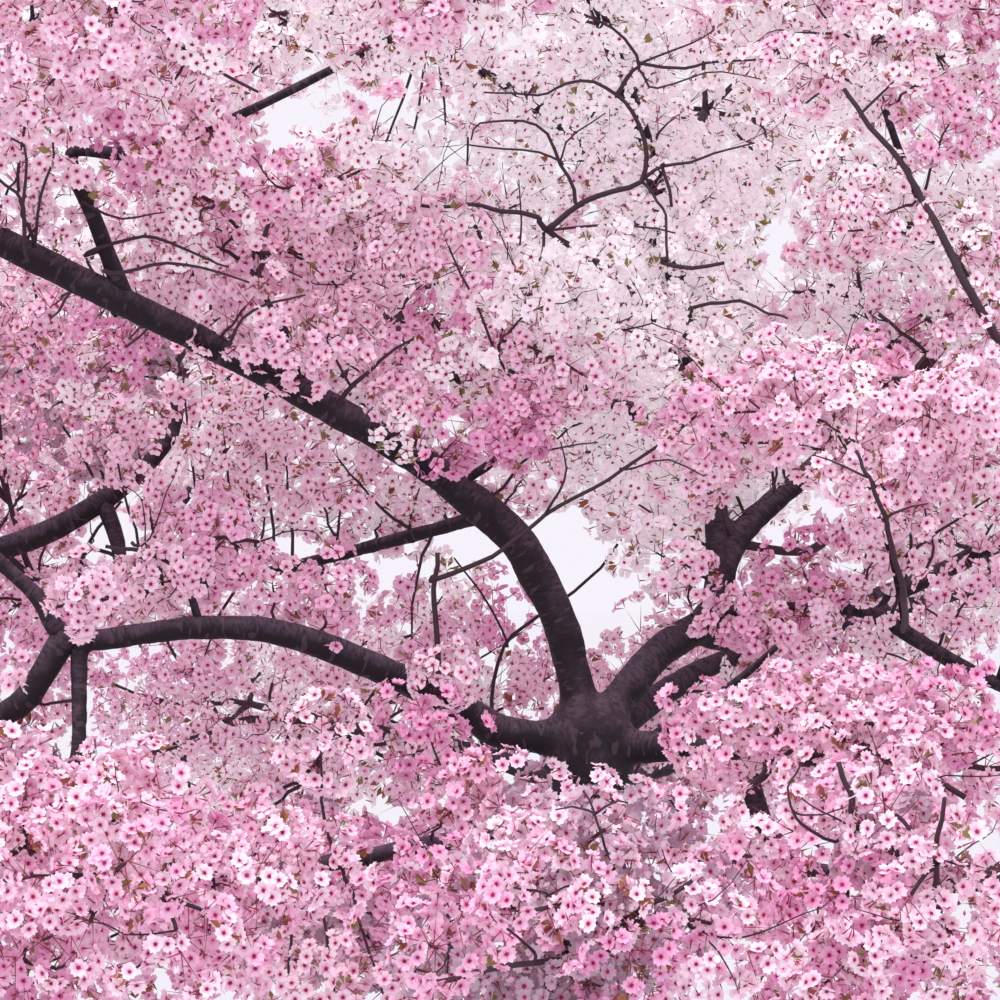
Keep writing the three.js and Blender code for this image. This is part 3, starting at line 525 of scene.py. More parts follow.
class Route:
    """A smooth line through places, with the rings of wood laid along it."""

    def __init__(self, name, places):
        self.name = name
        self.places = [Vector(place) for place in places]
        self.rings = []

    def point(self, at):
        """The place at a number of places along the route."""
        last = len(self.places) - 1
        step = min(int(at), last - 1)
        before, after = self.places[step], self.places[step + 1]
        way_in = (after - self.places[step - 1]) / 2 if step > 0 else after - before
        way_out = (self.places[step + 2] - before) / 2 if step + 2 <= last else after - before
        t = at - step
        return (before + way_in * t + (3 * (after - before) - 2 * way_in - way_out) * t * t
                + (2 * (before - after) + way_in + way_out) * t * t * t)

    def length(self, steps=200):
        last = len(self.places) - 1
        points = [self.point(last * i / steps) for i in range(steps + 1)]
        return sum((b - a).length for a, b in zip(points, points[1:]))

    def lay_rings(self, radii, count):
        last = len(self.places) - 1
        self.rings = [(self.point(last * i / count), mix(*radii, i / count))
                      for i in range(count + 1)]


def trunk_route():
    route = Route("trunk", ((0, 0, 0), FORK / 2 + TRUNK_BOW, FORK))
    for i in range(TRUNK_RINGS + 1):
        at = 2 * (i / TRUNK_RINGS) ** RING_CROWDING
        step = 0 if at < 1 else 1
        radius = mix(TRUNK_RADII[step], TRUNK_RADII[step + 1], at - step) if step < 2 else 0
        route.rings.append((route.point(at), radius))
    for n, radius in enumerate(HEAD_RADII):
        route.rings.append((FORK + Vector((0, 0, HEAD_RISE * (n + 1) / 2)), radius))
    return route


def limb_route(row, routes):
    name, parent, at, radii, places = row
    start = routes[parent].point(at)
    route = Route(name, [start] + [from_fork(place) for place in places])
    fewest, most = LIMB_RINGS
    route.lay_rings(metres(radii), min(most, max(fewest, math.ceil(route.length() / LIMB_STEP))))
    return route


@functools.cache
def wood_routes():
    """The routes of the trunk and of every limb, by name."""
    routes = {"trunk": trunk_route()}
    for row in LIMBS:
        routes[row[0]] = limb_route(row, routes)
    return routes


def bare_routes():
    """Routes of the bare limbs, which no solid stands for."""
    routes = []
    for n, (radii, places) in enumerate(BARE_LIMBS, 1):
        routes.append(Route(f"bare_limb_{n}", map(from_fork, places)))
        routes[-1].lay_rings(metres(radii), BARE_RINGS)
    return routes


@functools.cache
def limb_segments():
    """Starts, ways and reaches of all the stretches of wood between two rings."""
    rows = [(a[0], b[0] - a[0], max(a[1], b[1])) for route in wood_routes().values()
            for a, b in zip(route.rings, route.rings[1:])]
    starts, ways, reaches = (np.array([row[n] for row in rows], float) for n in range(3))
    return starts, ways, reaches


def clear_of_limbs(place, room):
    starts, ways, reaches = limb_segments()
    off = np.array(place) - starts
    share = np.clip((off * ways).sum(1) / (ways * ways).sum(1), 0, 1)
    gaps = np.linalg.norm(off - ways * share[:, None], axis=1)
    return bool((gaps >= reaches + room).all())


def spread(seed, k, axis):
    """Evenly spread numbers from 0 to 1: the k-th of a mass, along one of three axes."""
    value = 0.5 + seed * SEED_STEP + (k + 1) * SPREAD_STEPS[axis]
    return value - math.floor(value)


class Space:
    """The room that one mass of blossom keeps to, an ellipsoid."""

    def __init__(self, number, centre, sizes):
        self.seed = number + 1
        self.centre = from_fork(centre)
        self.sizes = Vector(metres(sizes))

    def tries(self, per_volume):
        volume = 4 / 3 * math.pi * self.sizes.x * self.sizes.y * self.sizes.z
        return max(FEWEST_TRIES, round(volume * per_volume))

    def depth(self, place, room):
        """How far a place lies from the middle, where 1 is the edge moved out by room."""
        off = place - self.centre
        return Vector([off[n] / (self.sizes[n] + room) for n in range(3)]).length

    def spray(self, k):
        """The k-th spray that the mass would like to grow: its middle and radius."""
        radius = mix(*SPRAY_RADII, spread(self.seed + SIZE_SHIFT, k, 1))
        hollow = RIM_SHARE if k < SOLID_SPRAYS else CORE_SHARE
        depth = mix(hollow, 1, spread(self.seed, k, 0)) ** (1 / 3)
        height = 1 - 2 * spread(self.seed, k, 1)
        around = 2 * math.pi * spread(self.seed, k, 2)
        level = math.sqrt(1 - height * height)
        way = Vector((level * math.cos(around), level * math.sin(around), height))
        off = Vector([(self.sizes[n] - radius) * depth * way[n] for n in range(3)])
        return self.centre + off, radius


class Joint:
    """A place where twigs may leave, and the wood from the limb's tip to it."""

    def __init__(self, place, before=None):
        self.place = place
        self.before = before
        self.wood = before.wood + (place - before.place).length if before else 0
        self.way = (place - before.place).normalized() if before else None
        self.load = 0
        self.shoots = 0
        self.flowering = False


class Twig:
    """A curve from one joint to the next ones: three places that it bends by, and its joints."""

    def __init__(self, start, through, end, joint, steps):
        self.bend = (start, through, end)
        self.joints = [joint]
        for i in range(1, steps + 1):
            self.joints.append(Joint(self.point(i / steps), self.joints[-1]))

    def point(self, t):
        start, through, end = self.bend
        return start * (1 - t) ** 2 + through * (2 * t * (1 - t)) + end * t * t


def in_reach(place):
    """True where a spray in this place stays in the solids' box, with what may stand proud."""
    low, high = CAD_BOX
    return all(low[n] - proud < place[n] - SPRAY_ROOM and place[n] + SPRAY_ROOM < high[n] + proud
               for n in range(3)
               for proud in [BOX_GROWTH * (high[n] - low[n]) + BOX_ROOM])


def cheapest_joint(joints, place, most):
    """The joint that a spray in this place costs least wood and least turning from."""
    best = None
    for joint in joints:
        if joint.flowering or joint.shoots >= most:
            continue
        way = place - joint.place
        gap = way.length
        turn = 1 - way.dot(joint.way) / max(gap, 0.001)
        cost = gap * (1 + TURN_COST * turn) + WOOD_COST * joint.wood
        if best is None or cost < best[0]:
            best = (cost, joint, gap, way.normalized())
    return best[1:]


def grow_mass(space, limb, earlier, tries):
    """Twigs of one mass, the stem first, and its sprays: (middle, radius, twig, number)."""
    tip, before = limb.rings[-1][0], limb.rings[-2][0]
    heading = (tip - before).normalized()
    root = Joint(tip + heading * SEAT_GAP)
    collar = Joint(root.place + heading * COLLAR, root)
    bend = root.place + heading * ((space.centre - root.place).length * BEND_REACH)
    stem = Twig(collar.place, bend, space.centre, collar, STEM_JOINTS)
    joints = stem.joints[1:]
    stem.joints.insert(0, root)
    twigs, sprays = [stem], []

    def free(place, limb_room, space_room):
        return clear_of_limbs(place, limb_room) and all(
            other.depth(place, space_room) > 1 for other in earlier)

    for k in range(tries):
        middle, radius = space.spray(k)
        if not free(middle, radius + CLEARANCE, radius + CLEARANCE):
            continue
        if k >= SOLID_SPRAYS and in_open_place(middle, radius):
            continue
        joint, gap, way = cheapest_joint(joints, middle, 1 if k < SOLID_SPRAYS else SHOOTS_LATER)
        lead = joint.way.lerp(way, 1 - SWEEP).normalized()
        bend = joint.place + lead * (gap * BEND_REACH)
        twig = Twig(joint.place, bend, middle, joint, TWIG_JOINTS)
        if not all(free(twig.point(share), 2 * CLEARANCE, CLEARANCE) for share in CLEAR_SHARES):
            continue
        joints += twig.joints[1:]
        twig.joints[-1].flowering = True
        joint.shoots += 1
        twigs.append(twig)
        sprays.append((middle, radius, twig, k))
        loaded = twig.joints[-1]
        while loaded:
            loaded.load += 1
            loaded = loaded.before
    return twigs, sprays


def seen_in(place, middle, half_sizes, radius=0.0):
    """True where a ball stands before an oval that is given at the depth of the fork."""
    off = Vector(place) - FORK - VIEW_OFFSET
    scale = -VIEW_OFFSET.y / off.y
    across = off.x * scale + VIEW_OFFSET.x - middle[0]
    up = off.z * scale + VIEW_OFFSET.z - middle[1]
    width, height = (half + radius * scale for half in half_sizes)
    return (across / width) ** 2 + (up / height) ** 2 < 1


def in_open_place(place, radius):
    """True where a spray would stand before a place that the photograph shows free of blossom."""
    depth = place.y - FORK.y
    return any(depth < deepest and seen_in(place, middle, half_sizes, radius * OPEN_MARGIN)
               for middle, half_sizes, deepest in OPEN_PLACES)


def tint_by_height(place, tint):
    # Near sprays high in the crown get lighter shades: painted light.
    return HIGH if tint == NEAR and place.z > FORK.z + HIGH_FROM else tint


def tint_at(place, tint):
    """How pale a mass's spray is: as its mass, or as its place asks for, lighter as painted light
    in pale places and high up, dusky as painted shade in shaded ones.
    """
    if any(seen_in(place, *pale) for pale in PALE_PLACES):
        return FAR
    # Sprays in a dusky place get the dusky tint: painted shade.
    if any(place.y > FORK.y + nearest and seen_in(place, middle, half_sizes)
           for middle, half_sizes, nearest in DUSKY_PLACES):
        return DUSK
    return tint_by_height(place, tint)


def nearest_on(route, place):
    """The place on a route, away from its root, that is nearest to this one."""
    last = len(route.places) - 1
    return min((route.point(last * share / 100) for share in range(FOOT_FROM, 101)),
               key=lambda point: (point - place).length)


def side_twig(foot, way, middle):
    lead = foot + way * ((middle - foot).length * BEND_REACH)
    return Twig(foot, lead, middle, Joint(foot, Joint(foot - way * COLLAR)), TWIG_JOINTS)


@functools.cache
def side_sprays():
    """Sprays on short twigs of their own along the limbs: (middle, radius, twig, tint)."""
    found = []
    spaces = [Space(number, centre, sizes) for number, (*_, centre, sizes) in enumerate(MASSES)]
    for seed, (name, first, end, step, reach, tint) in enumerate(LEAFY_LIMBS, 1):
        route = wood_routes()[name]
        places = len(route.places) - 1
        count = round(route.length() * (end - first) / step)
        for k in range(count):
            at = places * mix(first, end, (k + 0.5) / count)
            foot = route.point(at)
            ahead, behind = min(places, at + WAY_REACH), max(0, at - WAY_REACH)
            along = (route.point(ahead) - route.point(behind)).normalized()
            side = along.orthogonal().normalized()
            side.rotate(Quaternion(along, k * GOLDEN_TURN + seed))
            way = (side + along * SIDE_LEAN + Vector((0, 0, SIDE_RISE))).normalized()
            middle = foot + way * mix(*reach, spread(seed, k, 0))
            radius = mix(*SIDE_RADII, spread(seed, k, 1))
            crowded = any(space.depth(middle, CROWDED) < 1 for space in spaces)
            clear = reach == SHORT or clear_of_limbs(middle, radius * SIDE_CLEAR)
            if clear and not crowded and not in_open_place(middle, radius):
                twig = side_twig(foot, along.lerp(way, SIDE_TURN).normalized(), middle)
                found.append((middle, radius, twig, tint))
    for name, tint, sprays in SINGLE_SPRAYS:
        for *place, radius in sprays:
            middle = from_fork(place)
            foot = nearest_on(wood_routes()[name], middle)
            twig = side_twig(foot, (middle - foot).normalized(), middle)
            found.append((middle, radius / 1000, twig, tint))
    return found


@functools.cache
def crown(per_volume):
    """Every mass as (number, name, tint, limb, space, twigs, sprays)."""
    masses, earlier = [], []
    for number, (name, limb_name, tint, centre, sizes) in enumerate(MASSES):
        space = Space(number, centre, sizes)
        limb = wood_routes()[limb_name]
        twigs, sprays = grow_mass(space, limb, earlier, space.tries(per_volume))
        masses.append((number, name, tint, limb, space, twigs, sprays))
        earlier.append(space)
    return masses


class Heap:
    """Triangles of one kind, gathered from many small things and made into joined meshes."""
    MOST = 190_000                         # triangles in a piece

    def __init__(self):
        self.lots = []

    def add(self, corners, faces, node=None, reach=None):
        """A lot, with how far out on its petal each corner lies where that sets the colour."""
        self.lots.append((np.asarray(corners, np.float32).reshape(-1, 3),
                          np.asarray(faces, np.int32).reshape(-1, 3), node, reach))

    def parts(self):
        """The lots in rows that stay under the most triangles that a piece may have."""
        row, count = [], 0
        for lot in self.lots:
            if row and count + len(lot[1]) > self.MOST:
                yield row
                row, count = [], 0
            row.append(lot)
            count += len(lot[1])
        if row:
            yield row

    def make(self, name, material, slot):
        """Joined meshes with their material, each for the nodes that its lots stand for."""
        for n, row in enumerate(self.parts()):
            starts = np.cumsum([0] + [len(lot[0]) for lot in row[:-1]])
            corners = np.concatenate([lot[0] for lot in row])
            faces = np.concatenate([lot[1] + start for lot, start in zip(row, starts)])
            piece = mesh_object(f"{name}_{n + 1}" if n else name, corners, faces)
            if row[0][3] is not None:
                reach = np.concatenate([lot[3] for lot in row])
                add_values(piece.data, "petal_reach", "FLOAT", reach)
            finish_piece(piece, material, slot, sorted({lot[2] for lot in row if lot[2]}))


def mesh_object(name, corners, faces):
    """A mesh object at the origin, made from arrays of corners and triangles."""
    mesh = bpy.data.meshes.new(name)
    mesh.vertices.add(len(corners))
    mesh.vertices.foreach_set("co", corners.ravel())
    mesh.loops.add(3 * len(faces))
    mesh.loops.foreach_set("vertex_index", faces.ravel())
    mesh.polygons.add(len(faces))
    mesh.polygons.foreach_set("loop_start", np.arange(0, 3 * len(faces), 3, dtype=np.int32))
    mesh.update(calc_edges=True)
    mesh.validate()
    piece = bpy.data.objects.new(name, mesh)
    bpy.context.collection.objects.link(piece)
    return piece


def add_values(mesh, name, kind, values):
    """A value or a vector on every corner, for the materials to read."""
    layer = mesh.attributes.new(name, kind, "POINT")
    layer.data.foreach_set("value" if kind == "FLOAT" else "vector",
                           np.asarray(values, np.float32).ravel())


def finish_piece(piece, material, slot, nodes):
    piece.data.materials.clear()
    piece.data.materials.append(material)
    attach(piece, BODY)
    if nodes:
        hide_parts(*nodes)


def unit(vectors):
    return vectors / np.linalg.norm(vectors, axis=-1, keepdims=True)


def across(way):
    """X or, where that lies too near this way, Y."""
    return np.array((1.0, 0, 0) if abs(way[0]) < 0.7 else (0, 1.0, 0))


def square_to(way, side):
    """What is left of a direction without its share along this way."""
    side = side - way * side.dot(way)
    return side / np.linalg.norm(side)


def ring_frames(points):
    """For each point of a path, its way along and two directions square to it."""
    ways = unit(np.gradient(points, axis=0))
    side = across(ways[0])
    sides = []
    for way in ways:
        side = square_to(way, side)
        sides.append(side)
    sides = np.array(sides)
    return ways, sides, np.cross(ways, sides)


def tube(points, radii, sides):
    """Corners and triangles of a tapering closed tube along a path."""
    points = np.asarray(points, float)
    _, side, other = ring_frames(points)
    angle = (2 * np.pi * np.arange(sides) / sides)[None, :, None]
    rim = side[:, None] * np.cos(angle) + other[:, None] * np.sin(angle)
    corners = (points[:, None] + rim * np.asarray(radii)[:, None, None]).reshape(-1, 3)
    starts = np.arange(len(points) - 1)[:, None] * sides
    low = (starts + np.arange(sides)).ravel()
    turn = (starts + (np.arange(sides) + 1) % sides).ravel()
    fan = np.arange(1, sides - 1)
    last = sides * (len(points) - 1)
    faces = [(low, turn, turn + sides), (low, turn + sides, low + sides),
             (0 * fan, fan + 1, fan), (0 * fan + last, fan + last, fan + 1 + last)]
    return corners, np.concatenate([np.stack(row, 1) for row in faces])


class Field:
    """A socket of a material that can be added to and multiplied."""

    def __init__(self, finish, socket):
        self.finish = finish
        self.socket = socket

    def __add__(self, other):
        return self.finish.math("ADD", self, other)

    __radd__ = __add__

    def __mul__(self, other):
        return self.finish.math("MULTIPLY", self, other)

    __rmul__ = __mul__


class Finish:
    """A material and its nodes, round a Principled shader."""

    def __init__(self, name, roughness, **settings):
        self.material = bpy.data.materials.new(name)
        self.material.use_nodes = True
        self.tree = self.material.node_tree
        self.shader = self.tree.nodes["Principled BSDF"]
        self.shader.inputs["Roughness"].default_value = roughness
        for socket, value in settings.items():
            self.shader.inputs[socket.replace("_", " ").title()].default_value = value

    def node(self, kind, settings=None, inputs=None, output=0):
        """A node with its settings made first, then the values or links of its sockets."""
        made = self.tree.nodes.new(kind)
        for name, value in (settings or {}).items():
            if name == "stops":
                ramp = made.color_ramp
                while len(ramp.elements) < len(value):
                    ramp.elements.new(0.5)
                for element, (position, colour) in zip(ramp.elements, value):
                    element.position = position
                    element.color = colour
            else:
                setattr(made, name, value)
        for socket, value in (inputs or {}).items():
            if isinstance(value, Field):
                self.tree.links.new(value.socket, made.inputs[socket])
            else:
                made.inputs[socket].default_value = value
        return Field(self, made.outputs[output])

    def math(self, operation, a, b):
        return self.node("ShaderNodeMath", {"operation": operation}, {0: a, 1: b})

    def place(self):
        return self.node("ShaderNodeTexCoord", output="Object")

    def noise(self, vector, scale, detail=3, roughness=0.5):
        return self.node("ShaderNodeTexNoise", {}, {
            "Vector": vector, "Scale": scale, "Detail": detail, "Roughness": roughness})

    def blend(self, share, a, b):
        """Colour a where share is 0 and b where it is 1."""
        return self.node("ShaderNodeMix", {"data_type": "RGBA"}, {0: share, 6: a, 7: b}, 2)

    def steps(self, value, *stops):
        """A grey ramp over a value."""
        greys = [(at, (grey, grey, grey, 1)) for at, grey in stops]
        return self.node("ShaderNodeValToRGB", {"stops": greys}, {"Fac": value})

    def feed(self, socket, value):
        self.tree.links.new(value.socket, self.shader.inputs[socket])

    def bump(self, height, strength, distance):
        settings = {"Strength": strength, "Distance": distance, "Height": height}
        self.feed("Normal", self.node("ShaderNodeBump", {}, settings))


def opaque(colour, gain=1.0):
    return (*[min(1, channel * gain) for channel in colour], 1)


def soft_finish(name, colour, glow, roughness=0.55, unevenness=0.10, scale=55, throat=None):
    """Petals, leaves and buds: one colour, a little uneven, and another in a petal's throat; they
    glow a little in their own colour, a painted light.
    """
    # The glow is painted light: light of the material's own colour, given off though it is no lamp.
    finish = Finish(name, roughness, emission_strength=glow)
    finish.shader.inputs["Emission Color"].default_value = opaque(colour)
    place = finish.place()
    patches = finish.noise(place, scale, 2)
    shown = finish.blend(patches, opaque(colour, 1 - unevenness), opaque(colour, 1 + unevenness))
    if throat:
        reach = finish.node("ShaderNodeAttribute", {"attribute_name": "petal_reach"}, output="Fac")
        shown = finish.blend(finish.steps(reach, (0.16, 0), (0.58, 1)), opaque(throat), shown)
    finish.feed("Base Color", shown)
    finish.feed("Roughness", patches * 0.2 + (roughness - 0.1))
    finish.bump(finish.noise(place, 420, 1), 0.25, 0.0008)
    return finish.material


def bark_finish(colours):
    """Dark bark with bands and pale scars that run round each limb, and painted light that makes it
    paler where it faces up.
    """
    finish = Finish("bark", 0.8)
    grain = finish.node("ShaderNodeAttribute", {"attribute_name": "bark_place"}, output="Vector")
    top = finish.node("ShaderNodeAttribute", {"attribute_name": "bark_top"}, output="Fac")
    patches = finish.noise(finish.place(), 11, 4, 0.6)
    bands = finish.noise(grain, 34, 4, 0.62)
    fine = finish.noise(grain, 150, 5, 0.7)
    scars = finish.steps(finish.noise(grain, 75, 1, 0.4), (0.60, 0), (0.68, 1))
    # Painted light: the bark turns to its lighter colour where it faces up, mixed with paler
    # patches and bands.
    lit_top_and_patches = finish.steps(top * 0.62 + patches * 0.5 + bands * 0.22, (0.62, 0), (1.05, 1))
    colour = finish.blend(lit_top_and_patches, opaque(colours.bark_mid), opaque(colours.bark_lit_and_scarred))
    cracks = finish.steps(fine, (0.34, 0.9), (0.56, 0))
    colour = finish.blend(cracks, colour, opaque(colours.bark_dark))
    colour = finish.blend(scars * 0.35, colour, opaque(colours.bark_lit_and_scarred))
    finish.feed("Base Color", colour)
    finish.feed("Roughness", 0.62 + fine * 0.4)
    finish.bump(bands * 0.5 + fine * 0.4 + scars * 0.3, 0.7, 0.005)
    return finish.material


def twig_finish(colours):
    finish = Finish("twig_bark", 0.7)
    place = finish.place()
    fine = finish.noise(place, 160, 3, 0.6)
    dark, light = opaque(colours.twig, 0.45), opaque(colours.twig, 1.7)
    finish.feed("Base Color", finish.blend(fine, dark, light))
    finish.feed("Roughness", 0.5 + fine * 0.4)
    finish.bump(finish.noise(place, 500, 2), 0.5, 0.001)
    return finish.material


def deselect_all():
    for chosen in list(bpy.context.selected_objects):
        chosen.select_set(False)


def select_only(piece):
    deselect_all()
    piece.select_set(True)
    bpy.context.view_layer.objects.active = piece


def apply_modifier(piece, kind, **settings):
    select_only(piece)
    modifier = piece.modifiers.new(kind.lower(), kind)
    for name, value in settings.items():
        setattr(modifier, name, value)
    bpy.ops.object.modifier_apply(modifier=modifier.name)


def model_limb(name, points, radii, sides):
    """A limb drawn out ring by ring from a disc, each ring turned square to its route."""
    deselect_all()
    ways = ring_frames(np.array(points))[0]
    way = Vector(ways[0])
    bpy.ops.mesh.primitive_circle_add(
        vertices=sides, radius=radii[0], fill_type="NGON", location=points[0],
        rotation=way.to_track_quat("Z", "Y").to_euler())
    limb = bpy.context.object
    limb.name = name
    bpy.ops.object.transform_apply(location=True, rotation=True, scale=True)
    bpy.ops.object.mode_set(mode="EDIT")
    bpy.ops.mesh.select_all(action="SELECT")
    for n in range(1, len(points)):
        bpy.ops.mesh.extrude_region_move(
            TRANSFORM_OT_translate={"value": points[n] - points[n - 1]})
        ahead = Vector(ways[n])
        for axis, angle in zip("XYZ", way.rotation_difference(ahead).to_euler("XYZ")):
            bpy.ops.transform.rotate(value=-angle, orient_axis=axis, center_override=points[n])
        bpy.ops.transform.resize(value=(radii[n] / radii[n - 1],) * 3, center_override=points[n])
        way = ahead
    bpy.ops.object.mode_set(mode="OBJECT")
    return limb


WOOD_STEP = 0.040                          # rings of the modelled wood
WOBBLE = 0.34                              # how far a limb strays, in radii
SWAY_SCALE = 3.2
SWELL = 0.14                               # how much thicker and thinner it gets
SWELL_SCALE = 5.5
SWELL_SEED = 40
FADE = 4                                   # limbs run true at both ends, over 1/4 of their length
FEWEST_STEPS = 4
LIMB_SIDES = 12
THIN_TIP = 0.0105                          # limbs with a thinner tip are not fused
TRUNK_SAMPLES = 26
ROUND_SQUEEZE = 0.4                        # bands of bark are drawn out round the limb by this
LIMB_SHIFT = 3.7                           # keeps the bark of one limb from repeating another's
RIDGES = (30, 0.8)                         # scale and share in the relief
RIDGE_OCTAVES = (0.9, 2.0, 4)              # falling off, growing finer, and how many
KNOBS = (16, 1.7)                          # scale and share, too
SOLE = 0.004                               # bark lower than this lies in the flat cut
FORK_BLEND = 0.20                          # how far round the fork the boughs run into each other
FORK_SMOOTHING = 40


def stray(seed, along, scale):
    """A smooth small wandering, different for each limb."""
    return noise.noise_vector(Vector((seed * 7.31, along * scale, seed * 1.7)))


def trunk_path(rings):
    found = []
    for at in np.linspace(0, len(rings) - 1, TRUNK_SAMPLES + 1):
        step = min(int(at), len(rings) - 2)
        (low, low_radius), (high, high_radius) = rings[step], rings[step + 1]
        found.append((low.lerp(high, at - step), mix(low_radius, high_radius, at - step)))
    return found


def wood_path(route, seed):
    """Close points along a limb with their radii: it strays and swells a little, as wood does."""
    if route.name == "trunk":
        return trunk_path(route.rings)
    last = len(route.places) - 1
    length = route.length()
    count = max(FEWEST_STEPS, math.ceil(length / WOOD_STEP))
    found = []
    for share in np.linspace(0, 1, count + 1):
        radius = mix(route.rings[0][1], route.rings[-1][1], share)
        fade = min(1, FADE * share, FADE * (1 - share))
        sway = stray(seed, share * length, SWAY_SCALE) * (radius * WOBBLE * fade)
        swell = 1 + SWELL * fade * stray(seed + SWELL_SEED, share * length, SWELL_SCALE).x
        found.append((route.point(last * share) + sway, radius * swell))
    return found


def flare(height, angle):
    lobe = math.cos(FLARE_LOBES * angle + FLARE_TURN)
    return FLARE_REACH * math.exp(-height / FLARE_HEIGHT) * (1 + FLARE_LOBE_DEPTH * lobe)


def path_samples(paths):
    """Every point of the paths: place, radius, frame of the limb there and the way run to it."""
    samples = []
    for n, path in enumerate(paths):
        points = np.array([point for point, _ in path])
        ways, sides, others = ring_frames(points)
        runs = np.concatenate([[0], np.cumsum(np.linalg.norm(np.diff(points, axis=0), axis=1))])
        for (point, radius), way, side, other, run in zip(path, ways, sides, others, runs):
            frame_here = (Vector(way), Vector(side), Vector(other))
            samples.append((point, radius, *frame_here, run + LIMB_SHIFT * n))
    return samples


def shape_bark(piece, paths, depth):
    """Root flare and relief of the bark, with each corner's place round and along its limb."""
    samples = path_samples(paths)
    tree = kdtree.KDTree(len(samples))
    for n, sample in enumerate(samples):
        tree.insert(sample[0], n)
    tree.balance()
    mesh = piece.data
    normals = [vertex.normal.copy() for vertex in mesh.vertices]
    places, tops = [], []
    for vertex, normal in zip(mesh.vertices, normals):
        co = vertex.co
        point, radius, way, side, other, run = samples[tree.find(co)[1]]
        off = co - point
        round_limb = off.dot(side) * ROUND_SQUEEZE, off.dot(other) * ROUND_SQUEEZE
        grain = Vector((*round_limb, run + off.dot(way)))
        places.append(grain)
        # How far each corner faces up, which the bark paints as light on its top sides.
        tops.append(normal.z * 0.5 + 0.5)
        if co.z < 4 * FLARE_HEIGHT:
            level = Vector((off.x, off.y, 0))
            co += level.normalized() * flare(max(co.z, 0), math.atan2(off.y, off.x))
        ridge = noise.fractal(grain * RIDGES[0], *RIDGE_OCTAVES)
        knob = noise.noise(co * KNOBS[0])
        share = math.sqrt(min(1, radius / TRUNK_RADII[0]))
        co += normal * (depth * share * (RIDGES[1] * ridge + KNOBS[1] * knob))
        if co.z < SOLE:
            co.z = 0
    add_values(mesh, "bark_place", "FLOAT_VECTOR", places)
    add_values(mesh, "bark_top", "FLOAT", tops)
    mesh.update()


def model_limbs(routes, name):
    """Limbs side by side in one object, with their paths."""
    limbs, paths = [], []
    for n, route in enumerate(routes):
        path = wood_path(route, n)
        sides = 2 * TRUNK_SIDES if route.name == "trunk" else LIMB_SIDES
        points, radii = zip(*path)
        limbs.append(model_limb(route.name + "_wood", points, radii, sides))
        paths.append(path)
    deselect_all()
    for limb in limbs:
        limb.select_set(True)
    bpy.context.view_layer.objects.active = limbs[0]
    bpy.ops.object.join()
    bpy.context.object.name = bpy.context.object.data.name = name
    return bpy.context.object, paths


def blend_fork(piece):
    """Runs the boughs into each other round the fork."""
    group = piece.vertex_groups.new(name="fork")
    middle = FORK + Vector((0, 0, HEAD_RISE / 2))
    for vertex in piece.data.vertices:
        share = 1 - (vertex.co - middle).length / FORK_BLEND
        if share > 0:
            group.add([vertex.index], min(1, 2 * share), "REPLACE")
    apply_modifier(piece, "SMOOTH", factor=0.5, iterations=FORK_SMOOTHING, vertex_group="fork")


VIEW_END = 200
FLOOR_SIDES = 96
FLOOR_RADIUS = 60
FLOOR_INSET = 56
FLOOR_COLOURS = ((0.641, 0.640, 0.663, 1), (0.655, 0.654, 0.677, 1))
SKY_COLOUR = (0.84, 0.81, 0.88, 1)
SKY_POWER = 1.1
SUN_TURN = (math.radians(32), 0, math.radians(-18))
SUN_WIDTH = math.radians(25)
SUN_COLOUR = (1.0, 0.97, 0.95)
SUN_POWER = 1.7


class CHERRY_OT_stage(bpy.types.Operator):
    """Set up the camera, the lights, the sky and a plain pale floor"""
    bl_idname = "cherry.stage"
    bl_label = "Stage"

    def execute(self, context):
        deselect_all()
        place = FORK + VIEW_OFFSET
        bpy.ops.object.camera_add(location=place, rotation=(math.pi / 2, 0, 0))
        camera = context.object
        camera.name = "camera"
        camera.data.sensor_width = SENSOR
        camera.data.lens = SENSOR * abs(VIEW_OFFSET.y) / VIEW_WIDTH
        camera.data.dof.use_dof = False
        camera.data.clip_end = VIEW_END
        context.scene.camera = camera

        bpy.ops.mesh.primitive_circle_add(
            vertices=FLOOR_SIDES, radius=FLOOR_RADIUS, fill_type="NGON", location=(0, 0, 0))
        floor = context.object
        floor.name = "floor"
        bpy.ops.object.mode_set(mode="EDIT")
        bpy.ops.mesh.select_all(action="SELECT")
        bpy.ops.mesh.inset(thickness=FLOOR_INSET)
        bpy.ops.object.mode_set(mode="OBJECT")
        ground = Finish("floor", 0.9)
        patches = ground.noise(ground.place(), 0.6)
        ground.feed("Base Color", ground.blend(patches, *FLOOR_COLOURS))
        floor.data.materials.append(ground.material)

        world = bpy.data.worlds.new("sky")
        context.scene.world = world
        world.use_nodes = True
        background = world.node_tree.nodes["Background"]
        background.inputs["Color"].default_value = SKY_COLOUR
        background.inputs["Strength"].default_value = SKY_POWER

        bpy.ops.object.light_add(type="SUN", rotation=SUN_TURN)
        sun = context.object
        sun.name = "sun"
        sun.data.energy = SUN_POWER
        sun.data.angle = SUN_WIDTH
        sun.data.color = SUN_COLOUR
        context.scene.view_settings.view_transform = "Standard"
        return {"FINISHED"}


